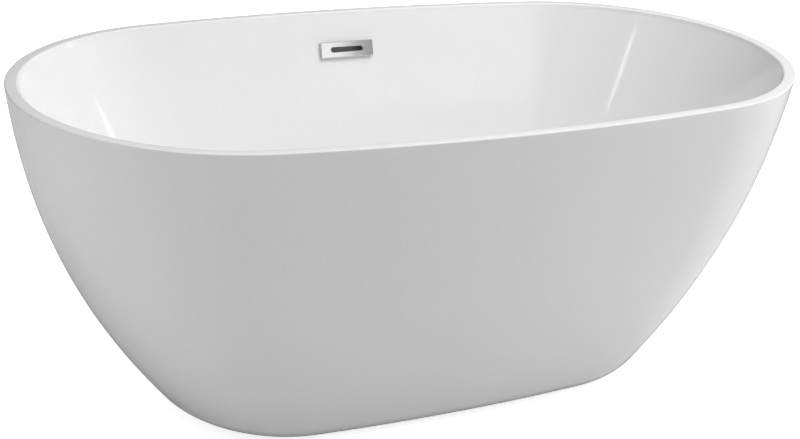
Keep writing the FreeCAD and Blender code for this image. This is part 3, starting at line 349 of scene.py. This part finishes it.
def plywood_material():
    """Plywood: long grain on the faces, and glued plies seen at the edges."""
    material, tree, shader = material_nodes("plywood", IOR=1.45)
    grain = noise(tree, 6.0, 8.0, 0.65, (1.2, 26, 1))
    stops = ((0.25, (0.33, 0.20, 0.10)), (0.5, (0.52, 0.36, 0.20)), (0.75, (0.66, 0.50, 0.31)))
    face = ramp(tree, grain, stops)
    layers = add_node(
        tree,
        "ShaderNodeTexWave",
        {"Vector": object_point(tree), "Scale": 1 / (2 * PLY), "Distortion": 0.2, "Detail": 1.0},
        wave_type="BANDS",
        bands_direction="Z",
    )
    edge = ramp(tree, layers.outputs["Fac"], ((0.35, (0.24, 0.14, 0.07)), (0.65, (0.62, 0.46, 0.28))))
    normal = add_node(tree, "ShaderNodeNewGeometry").outputs["Normal"]
    upright = add_node(tree, "ShaderNodeSeparateXYZ", {0: normal}).outputs["Z"]
    level = add_node(tree, "ShaderNodeMath", {0: upright}, operation="ABSOLUTE").outputs[0]
    tint = add_node(tree, "ShaderNodeMix", {0: level, 6: edge, 7: face}, data_type="RGBA").outputs[2]
    feed(tree, shader, Base_Color=tint, Roughness=between(tree, grain, 0.55, 0.8))
    bump(tree, shader, grain, 0.35, 0.0006)
    return material


def painted_steel_material():
    """Grey powder coat: fine orange peel, and cloudy patches of lighter and darker grey."""
    material, tree, shader = material_nodes("frame_steel", IOR=1.5)
    cloud = noise(tree, 9.0, 5.0, 0.6)
    stops = ((0.3, (0.30, 0.31, 0.33)), (0.6, (0.40, 0.41, 0.43)), (0.8, (0.46, 0.465, 0.47)))
    tint = ramp(tree, cloud, stops)
    feed(tree, shader, Base_Color=tint, Roughness=between(tree, cloud, 0.38, 0.55))
    bump(tree, shader, noise(tree, 700.0, 2.0), 0.25, 0.0002)
    return material


def zinc_material(name="zinc_steel", low=(0.50, 0.51, 0.53), high=(0.72, 0.73, 0.74)):
    """Bright zinc plate: cloudy patches and fine turned lines."""
    material, tree, shader = material_nodes(name, Metallic=1.0)
    cloud = noise(tree, 45.0, 4.0, 0.6)
    lines = noise(tree, 3.0, 2.0, 0.5, (40, 40, 900))
    tint = ramp(tree, cloud, ((0.3, low), (0.75, high)))
    feed(tree, shader, Base_Color=tint, Roughness=between(tree, lines, 0.22, 0.42))
    bump(tree, shader, lines, 0.15, 0.0001)
    return material


def chrome_material():
    """Mirror chrome over polished brass: faint haze and hairlines from wiping."""
    material, tree, shader = material_nodes("chrome", Metallic=1.0)
    haze = noise(tree, 18.0, 4.0, 0.6)
    wipe = noise(tree, 2.0, 2.0, 0.5, (60, 900, 900))
    tint = ramp(tree, haze, ((0.3, (0.76, 0.765, 0.775)), (0.7, (0.83, 0.835, 0.84))))
    feed(tree, shader, Base_Color=tint, Roughness=between(tree, wipe, 0.06, 0.13))
    bump(tree, shader, haze, 0.03, 0.0003)
    return material


def brass_material():
    """Machined brass with lathe lines."""
    material, tree, shader = material_nodes("brass", Metallic=1.0)
    lines = noise(tree, 4.0, 2.0, 0.5, (30, 30, 1200))
    tint = ramp(tree, lines, ((0.3, (0.55, 0.40, 0.16)), (0.7, (0.78, 0.62, 0.30))))
    feed(tree, shader, Base_Color=tint, Roughness=between(tree, lines, 0.2, 0.38))
    bump(tree, shader, lines, 0.2, 0.0001)
    return material


def moulded_material(name, low, high, rough=(0.4, 0.55), grain=900.0, strength=0.2):
    """Moulded plastic or rubber: even colour with a slight bloom, and a fine moulded grain."""
    material, tree, shader = material_nodes(name, IOR=1.47)
    bloom = noise(tree, 14.0, 5.0, 0.6)
    feed(
        tree,
        shader,
        Base_Color=ramp(tree, bloom, ((0.3, low), (0.72, high))),
        Roughness=between(tree, bloom, *rough),
    )
    bump(tree, shader, noise(tree, grain, 2.0), strength, 0.0002)
    return material


MATERIALS = {
    "acrylic": acrylic_material(),
    "glass_fibre": glass_fibre_material(),
    "adhesive": moulded_material(
        "adhesive", (0.60, 0.60, 0.57), (0.72, 0.72, 0.69), (0.55, 0.7), 120.0, 0.5
    ),
    "plywood": plywood_material(),
    "frame_steel": painted_steel_material(),
    "zinc_steel": zinc_material(),
    "spring_steel": zinc_material("spring_steel", (0.38, 0.38, 0.39), (0.6, 0.6, 0.61)),
    "black_plastic": moulded_material("black_plastic", (0.020, 0.020, 0.021), (0.035, 0.035, 0.036)),
    "white_plastic": moulded_material("white_plastic", (0.70, 0.70, 0.69), (0.78, 0.78, 0.77), (0.3, 0.4)),
    "grey_hose": moulded_material("grey_hose", (0.26, 0.27, 0.28), (0.36, 0.37, 0.38), (0.35, 0.5)),
    "rubber": moulded_material(
        "rubber", (0.025, 0.024, 0.023), (0.050, 0.049, 0.047), (0.65, 0.85), 500.0, 0.4
    ),
    "chrome": chrome_material(),
    "brass": brass_material(),
}


# ---- shells ----

def curled_wall(outer, inner, top):
    """Rings of a wall between two insets: up its face from the curled edge, over, and down its back."""
    turns = spread(0, math.pi / 2, CURL_RINGS)
    wall_start = SKIRT_BOTTOM + CURL_RADIUS
    rings = []
    for inset, order in ((outer, 1), (inner, -1)):
        radius = CURL_RADIUS - inset
        side = []
        for a in turns[:-1]:
            height = wall_start - radius * math.cos(a)
            side.append(skirt_ring(height, CURL_RADIUS - radius * math.sin(a)))
        side += [skirt_ring(height, inset) for height in spread(wall_start, top, SKIRT_RINGS)]
        rings += side[::order]
    return rings


def make_skirt():
    """The outer wall, and the glass fibre on its inside."""
    rings = curled_wall(0.0, ACRYLIC, SEAM_HEIGHT)
    new_piece("skirt_shell", *band(rings), "tub", "acrylic", ["outer_skirt"])
    rings = curled_wall(ACRYLIC, ACRYLIC + BACKING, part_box("skirt_backing")[1].z)
    new_piece("skirt_fibre", *band(rings), "tub", "glass_fibre", ["skirt_backing"])


# heights of the bath's rings over its floor
BATH_CORNER = [FLOOR_RADIUS * (1 - math.cos(a)) for a in spread(0, CORNER_SWEEP, CORNER_RINGS)]
WALL_TOP = BATH_DEPTH - RIM_INNER_ROUND
BATH_LEVELS = BATH_CORNER + spread(BATH_CORNER[-1], WALL_TOP, WALL_RINGS)[1:]


def under_bath(offset, top):
    """Rings of a surface outside the bath, from a height over its floor down to the waste hole."""
    flat = bath_ring(-offset, offset)
    hole = circle_like(flat, WASTE_HOLE, FLOOR_HEIGHT - offset)
    heights = [height for height in BATH_LEVELS if height < top] + [top]
    rings = [bath_ring(height, offset) for height in reversed(heights)] + [flat]
    shares = reversed(spread(0, 1, UNDER_RINGS)[:-1])
    return rings + [mix_rings(hole, flat, share) for share in shares]


def make_basin():
    """The bath: hole edge, floor, round corner, wall, rim, lip, and back under to the hole."""
    floor_flat = bath_ring(0.0)
    hole = circle_like(floor_flat, WASTE_HOLE, FLOOR_HEIGHT)
    rings = [mix_rings(hole, floor_flat, share) for share in spread(0, 1, FLOOR_RINGS)[:-1]]
    rings += [bath_ring(height) for height in BATH_LEVELS]
    for a in spread(0, math.pi / 2, INNER_EDGE_RINGS)[1:]:
        rings.append(bath_ring(WALL_TOP, 0.0, -RIM_INNER_ROUND * (1 - math.cos(a))))
        for point in rings[-1]:
            point.z += RIM_INNER_ROUND * math.sin(a)
    rings.append(skirt_ring(HEIGHT, RIM_WIDTH / 2))
    for a in reversed(spread(0, math.pi / 2, OUTER_EDGE_RINGS)):
        inset = RIM_OUTER_ROUND * (1 - math.cos(a))
        drop = RIM_OUTER_ROUND * (1 - math.sin(a))
        rings.append(skirt_ring(HEIGHT - drop, inset))
    rings += [skirt_ring(SEAM_HEIGHT), skirt_ring(SEAM_HEIGHT, ACRYLIC)]
    rings.append(skirt_ring(HEIGHT - ACRYLIC, ACRYLIC))
    rings += under_bath(ACRYLIC, BATH_DEPTH - ACRYLIC)
    cut_window(new_piece("bath_shell", *band(rings), "tub", "acrylic", ["basin"]))
    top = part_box("basin_backing")[1].z - FLOOR_HEIGHT
    rings = under_bath(ACRYLIC, top) + under_bath(ACRYLIC + BACKING, top)[::-1]
    cut_window(new_piece("bath_fibre", *band(rings), "tub", "glass_fibre", ["basin_backing"]))


# ---- overflow's place on the wall ----

OVERFLOW_DROP = 0.0685
OVERFLOW_REACH = HALF_WIDTH - RIM_WIDTH - OVERFLOW_DROP * math.tan(SIDE_ANGLE)
WALL_FRAME = Matrix.Translation((0, OVERFLOW_REACH, HEIGHT - OVERFLOW_DROP)) @ Matrix.Rotation(
    math.pi / 2 - SIDE_ANGLE, 4, "X"
)
# the slot cut through the wall behind the cover
WINDOW_LENGTH, WINDOW_HEIGHT, WINDOW_DEPTH = 0.070, 0.013, 0.030
# the slot in the cover's face
SLOT_LENGTH, SLOT_HEIGHT = 0.066, 0.009
SLOT_BEVEL = 0.0010
COVER_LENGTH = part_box("overflow_cover")[1].x * 2
COVER_HEIGHT = 0.030
COVER_LIFT, COVER_FRONT = 0.0008, 0.007
COVER_WALL = 0.0015
COVER_ROUND = 0.0009
COVER_CORNER = 0.0016
CORNER_SAMPLES = 8
BEVEL_RINGS = 5
ROUND_RINGS = 6
# how far from its bevels the cover's face has a ring that keeps it flat
FLAT_MARGIN = 0.0003


def four_fold(quarter, level):
    """The ring that a quarter of an outline makes when mirrored across both axes."""
    upper = quarter + [(-x, y) for x, y in reversed(quarter)]
    lower = [(-x, -y) for x, y in upper[1:-1]]
    return [Vector((x, y, level)) for x, y in upper + lower]


def slot_ring(length, height, level):
    """Slot with round ends, centred on the overflow."""
    radius = height / 2
    quarter = []
    for a in spread(0, math.pi / 2, CORNER_SAMPLES + 2):
        quarter.append((length / 2 - radius + radius * math.cos(a), radius * math.sin(a)))
    return four_fold(quarter, level)


def plate_ring(inset, corner, level):
    """The cover's outline moved in by inset, with a point for each point of a slot ring."""
    half_length, half_height = COVER_LENGTH / 2 - inset, COVER_HEIGHT / 2 - inset
    quarter = [(half_length, 0.0)]
    for a in spread(0, math.pi / 2, CORNER_SAMPLES):
        x = half_length - corner * (1 - math.cos(a))
        quarter.append((x, half_height - corner * (1 - math.sin(a))))
    quarter.append(((SLOT_LENGTH - SLOT_HEIGHT) / 2, half_height))
    return four_fold(quarter, level)


def make_cover():
    """Slotted chrome cover: round edges, a bevelled slot, and a hollow back."""
    inside = COVER_FRONT - COVER_WALL
    rings = [slot_ring(SLOT_LENGTH, SLOT_HEIGHT, inside)]
    for a in spread(0, math.pi / 2, BEVEL_RINGS):
        grow = 2 * SLOT_BEVEL * (1 - math.cos(a))
        level = COVER_FRONT - SLOT_BEVEL * (1 - math.sin(a))
        rings.append(slot_ring(SLOT_LENGTH + grow, SLOT_HEIGHT + grow, level))
    # two more rings keep the face flat up to its bevels
    grow = 2 * (SLOT_BEVEL + FLAT_MARGIN)
    rings.append(slot_ring(SLOT_LENGTH + grow, SLOT_HEIGHT + grow, COVER_FRONT))
    corner = COVER_CORNER - COVER_ROUND - FLAT_MARGIN
    rings.append(plate_ring(COVER_ROUND + FLAT_MARGIN, corner, COVER_FRONT))
    for a in reversed(spread(0, math.pi / 2, ROUND_RINGS)):
        inset = COVER_ROUND * (1 - math.cos(a))
        level = COVER_FRONT - COVER_ROUND * (1 - math.sin(a))
        rings.append(plate_ring(inset, COVER_CORNER - inset, level))
    rings.append(plate_ring(0.0, COVER_CORNER, COVER_LIFT))
    rings.append(plate_ring(COVER_WALL, COVER_CORNER / 4, COVER_LIFT))
    rings.append(plate_ring(COVER_WALL, COVER_CORNER / 4, inside))
    rings = [[WALL_FRAME @ point for point in ring] for ring in rings]
    new_piece("cover_plate", *band(rings), "tub", "chrome", ["overflow_cover"])


def cut_window(piece):
    """Cut the overflow's slot through a wall for good."""
    levels = (-WINDOW_DEPTH / 2, WINDOW_DEPTH / 2)
    rings = [slot_ring(WINDOW_LENGTH, WINDOW_HEIGHT, level) for level in levels]
    points, faces = band(rings, closed=False)
    mesh = bpy.data.meshes.new("cutter")
    mesh.from_pydata(points, [], faces)
    mesh.transform(WALL_FRAME)
    cutter = bpy.data.objects.new("cutter", mesh)
    bpy.context.scene.collection.objects.link(cutter)
    modifier = piece.modifiers.new("cut", "BOOLEAN")
    modifier.object = cutter
    modifier.operation = "DIFFERENCE"
    modifier.solver = "EXACT"
    graph = bpy.context.evaluated_depsgraph_get()
    mesh = bpy.data.meshes.new_from_object(piece.evaluated_get(graph))
    piece.modifiers.clear()
    piece.data = mesh
    bpy.data.objects.remove(cutter)


# ---- stopper, feet and hose ----

FEET = [node[len("foot_pad_"):] for node in frame["nodes"] if node.startswith("foot_pad_")]

CAP_DOME = 0.0045
CAP_LIP = 0.0014
CAP_LIP_END = 82
CAP_BOSS = 0.010
CAP_EDGE_RINGS = 14
CAP_DOME_RINGS = 24
CAP_DOME_START = 0.02
STEM_RADIUS = 0.003
STEM_SOCKET = 0.003
# radius of the small flat face that closes a turned shape on its axis
CAP_POLE = 0.0004
PAD_POLE = 0.0005
FOOT_TOP = 0.014
PAD_BASE_ROUND = 0.0012
PAD_RIM_ROUND = 0.0010
PAD_TOP_ROUND = 0.0008
# rings up the foot's cone: first and last share of its slope, and how many steps
PAD_SLOPE = (0.08, 0.92, 6)
PAD_SLOPE_POWER = 1.4
PAD_ROUND_RINGS = 4
PAD_SAMPLES = 144
PAD_RIBS = 36
PAD_RIB_DEPTH = 0.0006
NUT_FLATS = 0.019
NUT_HEIGHT = 0.010
NUT_BORE = 0.006
NUT_CHAMFER_SLOPE = 1.7
NUT_CHAMFER_RINGS = 4
NUT_SINK = 0.0006
NUT_SAMPLES = 72
THREAD_PITCH = 0.00175
THREAD_DEPTH = 0.0008
THREAD_STEPS = 6
STUD_SAMPLES = 24
HOSE_BORE = 0.0105
HOSE_RIB = 0.0008
HOSE_PITCH = 0.0045
HOSE_CUFF = 0.030
HOSE_SAMPLES = 32
BORE_RINGS = 90
HOSE_BEND_START = 0.177
HOSE_BEND_RADIUS = 0.050
HOSE_LEVEL = 0.068
HOSE_END = Vector((0, 0.3184, 0.402))


def make_stopper_cap():
    """Domed chrome cap with a rolled lip, and the boss that holds the stem."""
    low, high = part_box("stopper_cap")
    under = high.z - CAP_DOME
    profile = [(CAP_POLE, under - STEM_SOCKET), (STEM_RADIUS, under - STEM_SOCKET)]
    profile += [(STEM_RADIUS, low.z), (CAP_BOSS, low.z), (CAP_BOSS, under)]
    lip = high.x - CAP_LIP
    profile += arc(lip, under + CAP_LIP, CAP_LIP, -90, CAP_LIP_END, CAP_EDGE_RINGS)
    edge, lip_top = profile[-1]
    for share in reversed(spread(CAP_DOME_START, 1, CAP_DOME_RINGS)[:-1]):
        profile.append((edge * share, high.z - (high.z - lip_top) * share ** 2))
    shape = band(turned(profile), closed=False)
    new_piece("push_cap", *shape, "stopper", "chrome", ["stopper_cap"], sharp=30)


def make_foot_pad(where):
    """Moulded foot: ribbed rim, hollow cone and the socket of the stud."""
    node = "foot_pad_" + where
    low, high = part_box("foot_pad_" + where)
    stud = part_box("foot_stud_" + where)
    stud_radius = (stud[1].x - stud[0].x) / 2
    radius = (high.x - low.x) / 2
    rim_top = stud[0].z
    base, rim, top = PAD_BASE_ROUND, PAD_RIM_ROUND, PAD_TOP_ROUND
    profile = [(PAD_POLE, low.z)] + arc(radius - base, low.z + base, base, -90, 0, PAD_ROUND_RINGS)
    profile += arc(radius - rim, rim_top - rim, rim, 0, 80, PAD_ROUND_RINGS)
    for share in spread(*PAD_SLOPE):
        rise = (high.z - rim_top) * share ** PAD_SLOPE_POWER
        profile.append((radius - (radius - FOOT_TOP) * share, rim_top + rise))
    profile += arc(FOOT_TOP - top, high.z - top, top, 10, 90, PAD_ROUND_RINGS)
    profile += [(stud_radius, high.z), (stud_radius, rim_top), (PAD_POLE, rim_top)]
    rings = turned(profile, middle_of(node), PAD_SAMPLES, PAD_RIBS, PAD_RIB_DEPTH)
    shape = band(rings, closed=False)
    new_piece("pad_" + where, *shape, "foot_" + where, "black_plastic", [node])


def make_stud(where):
    """Threaded stud: a helical wave round a bar, which fades at both ends."""
    node = "foot_stud_" + where
    low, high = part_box(node)
    middle = middle_of(node)
    crest = (high.x - low.x) / 2
    rings = []
    for height in spread(low.z, high.z, round((high.z - low.z) / THREAD_PITCH * THREAD_STEPS)):
        fade = min(1.0, min(height - low.z, high.z - height) / THREAD_PITCH)
        ring = []
        for i in range(STUD_SAMPLES):
            angle = TAU * i / STUD_SAMPLES
            wave = 0.5 + 0.5 * math.cos(TAU * height / THREAD_PITCH - angle)
            radius = crest - THREAD_DEPTH * (1 - wave * fade)
            ring.append(around(middle, radius, angle, height))
        rings.append(ring)
    shape = band(rings, closed=False)
    new_piece("stud_" + where, *shape, "foot_" + where, "zinc_steel", [node], sharp=70)


def nut_rings(middle, bottom):
    """Hexagonal nut with corners turned down at both faces, and a countersunk bore."""
    turns = [TAU * i / NUT_SAMPLES for i in range(NUT_SAMPLES)]
    hexagon = [NUT_FLATS / 2 / math.cos(a % (math.pi / 3) - math.pi / 6) for a in turns]
    chamfer = (max(hexagon) - NUT_FLATS / 2) / NUT_CHAMFER_SLOPE
    drops = spread(0, chamfer, NUT_CHAMFER_RINGS)
    top = bottom + NUT_HEIGHT
    levels = [(drop, bottom + drop) for drop in drops]
    levels += [(drop, top - drop) for drop in reversed(drops)]
    rings = []
    for drop, height in levels:
        reaches = [min(reach, NUT_FLATS / 2 + drop * NUT_CHAMFER_SLOPE) for reach in hexagon]
        rings.append([around(middle, r, a, height) for r, a in zip(reaches, turns)])
    sink = NUT_SINK
    for widen, height in ((sink, top), (0, top - sink), (0, bottom + sink), (sink, bottom)):
        rings.append([around(middle, NUT_BORE + widen, a, height) for a in turns])
    return rings


def make_nuts(where):
    """The pair of nuts on a foot's stud, under and over its bracket."""
    node = "foot_nuts_" + where
    low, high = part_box(node)
    points, faces = [], []
    for bottom in (low.z, high.z - NUT_HEIGHT):
        nut_points, nut_faces = band(nut_rings(middle_of(node), bottom))
        faces += [tuple(i + len(points) for i in face) for face in nut_faces]
        points += nut_points
    new_piece("nuts_" + where, points, faces, "nuts_" + where, "zinc_steel", [node], sharp=18)


def hose_places(count):
    """Centre, direction, distance and whole length: level, one bend, then up beside the bath."""
    start = Vector((0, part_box("overflow_hose")[0].y, HOSE_LEVEL))
    corner = Vector((0, HOSE_BEND_START, HOSE_LEVEL))
    pivot = corner + Vector((0, 0, HOSE_BEND_RADIUS))
    span = (HOSE_END - pivot).length
    # the last run leaves the bend on a tangent
    turn = math.atan2(HOSE_END.z - pivot.z, HOSE_END.y - pivot.y)
    turn += math.asin(HOSE_BEND_RADIUS / span)
    first, bend = (corner - start).length, HOSE_BEND_RADIUS * turn
    last = math.sqrt(span ** 2 - HOSE_BEND_RADIUS ** 2)
    for along in spread(0, first + bend + last, count):
        angle = min(max(along - first, 0) / HOSE_BEND_RADIUS, turn)
        heading = Vector((0, math.cos(angle), math.sin(angle)))
        centre = pivot + Vector((0, math.sin(angle), -math.cos(angle))) * HOSE_BEND_RADIUS
        centre += heading * (min(along - first, 0) + max(along - first - bend, 0))
        yield centre, heading, along, first + bend + last


def make_hose():
    """Ribbed overflow hose with plain cuffs."""
    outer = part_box("overflow_hose")[1].x
    across = Vector((1, 0, 0))
    turns = [TAU * i / HOSE_SAMPLES for i in range(HOSE_SAMPLES)]
    length = next(hose_places(1))[3]
    outside = list(hose_places(round(length / HOSE_PITCH * THREAD_STEPS)))
    inside = list(hose_places(BORE_RINGS))[::-1]
    rings = []
    for places, ribbed in ((outside, True), (inside, False)):
        for centre, heading, along, whole in places:
            cuff = min(along, whole - along) < HOSE_CUFF
            wave = 0.5 - 0.5 * math.cos(TAU * (along - HOSE_CUFF) / HOSE_PITCH)
            dip = 0.0 if cuff else HOSE_RIB * wave
            radius = outer - dip if ribbed else HOSE_BORE
            side = heading.cross(across)
            rings.append([centre + (across * math.cos(a) + side * math.sin(a)) * radius for a in turns])
    new_piece("ribbed_hose", *band(rings), "tub", "grey_hose", ["overflow_hose"], sharp=70)


# ---- camera, stage and light ----

CAMERA_TARGET = Vector((0, 0, HEIGHT / 2))
CAMERA_AZIMUTH = -0.4689
CAMERA_ELEVATION = 0.3923
CAMERA_DISTANCE = 2.6531
CAMERA_ROLL = 0.0652
CAMERA_LENS = 66.94
CAMERA_SHIFT = (-0.0171, 0.0010)
CAMERA_SENSOR = 36.0
CAMERA_REACH = 50.0

FLOOR_REACH = 14.0
FLOOR_GLOW = 0.75
FLOOR_BOUNCE = (0.66, 0.66, 0.66)
# brightness of the surround at places from the left (0) to the right (1)
SURROUND = ((0.0, 0.18), (0.42, 0.05), (0.70, 0.34), (1.0, 0.60))
# brightness that the surround gains overhead
OVERHEAD = 0.35
# soft lights: name, place, aim, width and height, radiance against white, and whether reflections
# show them
SOFT_LIGHTS = (
    ("top_box", (0.64, -0.70, 2.5), (0.1, 0.1, 0.3), (2.0, 1.6), 4.15, False),
    ("left_box", (-2.5, -0.55, 0.33), (-0.6, -0.2, 0.3), (1.9, 0.6), 3.6, False),
    ("right_box", (2.4, -0.75, 0.36), (0.4, -0.2, 0.3), (1.6, 0.65), 5.1, False),
    ("back_box", (0.0, 2.5, 0.36), (0.0, 0.3, 0.3), (2.6, 0.6), 3.0, False),
    ("front_box", (0.84, -3.0, 1.45), (0.0, 0.3, 0.5), (1.2, 0.8), 0.80, True),
    ("left_strip", (-1.33, -0.79, 1.79), (0.55, 0.20, 0.47), (0.08, 0.28), 5.5, True),
    ("right_strip", (2.43, -0.05, 0.75), (-0.49, 0.235, 0.44), (0.12, 0.74), 5.0, True),
)


def make_camera():
    """Camera at the photo's angle, aimed at the tub's middle and a little rolled."""
    back = Vector(
        (
            math.sin(CAMERA_AZIMUTH) * math.cos(CAMERA_ELEVATION),
            -math.cos(CAMERA_AZIMUTH) * math.cos(CAMERA_ELEVATION),
            math.sin(CAMERA_ELEVATION),
        )
    )
    right = Vector((math.cos(CAMERA_AZIMUTH), math.sin(CAMERA_AZIMUTH), 0))
    up = back.cross(right)
    tilted_right = right * math.cos(CAMERA_ROLL) + up * math.sin(CAMERA_ROLL)
    tilted_up = up * math.cos(CAMERA_ROLL) - right * math.sin(CAMERA_ROLL)
    data = bpy.data.cameras.new("camera")
    data.lens = CAMERA_LENS
    data.sensor_width = CAMERA_SENSOR
    data.shift_x, data.shift_y = CAMERA_SHIFT
    data.clip_end = CAMERA_REACH
    camera = bpy.data.objects.new("camera", data)
    bpy.context.scene.collection.objects.link(camera)
    turn = Matrix((tilted_right, tilted_up, back)).transposed()
    camera.matrix_world = Matrix.Translation(CAMERA_TARGET + back * CAMERA_DISTANCE) @ turn.to_4x4()
    bpy.context.scene.camera = camera


def add_light(name, place, aim, size, power):
    """Rectangular soft light at a place, aimed at a point."""
    data = bpy.data.lights.new(name, "AREA")
    data.shape = "RECTANGLE"
    data.size, data.size_y = size
    data.energy = power
    lamp = bpy.data.objects.new(name, data)
    bpy.context.scene.collection.objects.link(lamp)
    towards = Vector(aim) - Vector(place)
    turn = towards.to_track_quat("-Z", "Y").to_matrix().to_4x4()
    lamp.matrix_world = Matrix.Translation(place) @ turn
    return lamp


def make_floor():
    """Plain pale floor, which glows for the camera and is a plain grey to the light."""
    material, tree, shader = material_nodes("floor", Roughness=0.95, Specular_IOR_Level=0.0)
    stops = ((0.3, (0.90, 0.90, 0.90)), (0.7, (0.92, 0.92, 0.92)))
    feed(tree, shader, Base_Color=ramp(tree, noise(tree, 0.6, 3.0), stops))
    glow = add_node(tree, "ShaderNodeEmission", {"Strength": FLOOR_GLOW})
    bright = add_node(tree, "ShaderNodeAddShader", {0: shader.outputs[0], 1: glow.outputs[0]})
    dim = add_node(tree, "ShaderNodeBsdfDiffuse", {"Color": (*FLOOR_BOUNCE, 1)})
    seen = add_node(tree, "ShaderNodeLightPath").outputs["Is Camera Ray"]
    mixed = add_node(tree, "ShaderNodeMixShader", {0: seen, 1: dim.outputs[0], 2: bright.outputs[0]})
    tree.links.new(mixed.outputs[0], tree.nodes["Material Output"].inputs["Surface"])
    mesh = bpy.data.meshes.new("floor")
    corners = [(x * FLOOR_REACH, y * FLOOR_REACH, 0) for x, y in ((-1, -1), (1, -1), (1, 1), (-1, 1))]
    mesh.from_pydata(corners, [], [(0, 1, 2, 3)])
    mesh.materials.append(material)
    floor = bpy.data.objects.new("floor", mesh)
    bpy.context.scene.collection.objects.link(floor)


def make_surround():
    """Surround that is white to the camera, and lights the tub more from the right and above."""
    world = bpy.data.worlds.new("surround")
    world.use_nodes = True
    tree = world.node_tree
    where = add_node(tree, "ShaderNodeTexCoord")
    aim = add_node(tree, "ShaderNodeSeparateXYZ", {0: where.outputs["Generated"]})
    inputs = {"Value": aim.outputs["X"], "From Min": -1.0}
    place = add_node(tree, "ShaderNodeMapRange", inputs).outputs["Result"]
    stops = [(share, (level, level, level)) for share, level in SURROUND]
    sides = ramp(tree, place, stops)
    stops = ((0.55, (0, 0, 0)), (0.95, (OVERHEAD, OVERHEAD, OVERHEAD)))
    overhead = ramp(tree, aim.outputs["Z"], stops)
    both = add_node(tree, "ShaderNodeVectorMath", {0: sides, 1: overhead}, operation="ADD").outputs[0]
    light = tree.nodes["Background"]
    tree.links.new(both, light.inputs["Color"])
    plain = add_node(tree, "ShaderNodeBackground", {"Color": (1, 1, 1, 1), "Strength": 1.0})
    seen = add_node(tree, "ShaderNodeLightPath").outputs["Is Camera Ray"]
    mixed = add_node(tree, "ShaderNodeMixShader", {0: seen, 1: light.outputs[0], 2: plain.outputs[0]})
    tree.links.new(mixed.outputs[0], tree.nodes["World Output"].inputs["Surface"])
    bpy.context.scene.world = world


def make_lights():
    """Soft boxes; a lamp's power in watts is its radiance times pi times its area."""
    for name, place, aim, (width, height), radiance, shiny in SOFT_LIGHTS:
        lamp = add_light(name, place, aim, (width, height), radiance * math.pi * width * height)
        lamp.visible_glossy = shiny


make_camera()
make_floor()
make_surround()
make_lights()
bpy.context.scene.view_settings.view_transform = "Standard"
make_skirt()
make_basin()
make_cover()
make_stopper_cap()
make_hose()
for where in FEET:
    make_foot_pad(where)
    make_stud(where)
    make_nuts(where)
for node, piece in frame["nodes"].items():
    slot = next(s["material_slot"] for s in frame["record"]["subparts"] if s["node"] == node)
    piece.data.materials.clear()
    piece.data.materials.append(MATERIALS[slot])

bpy.context.view_layer.update()
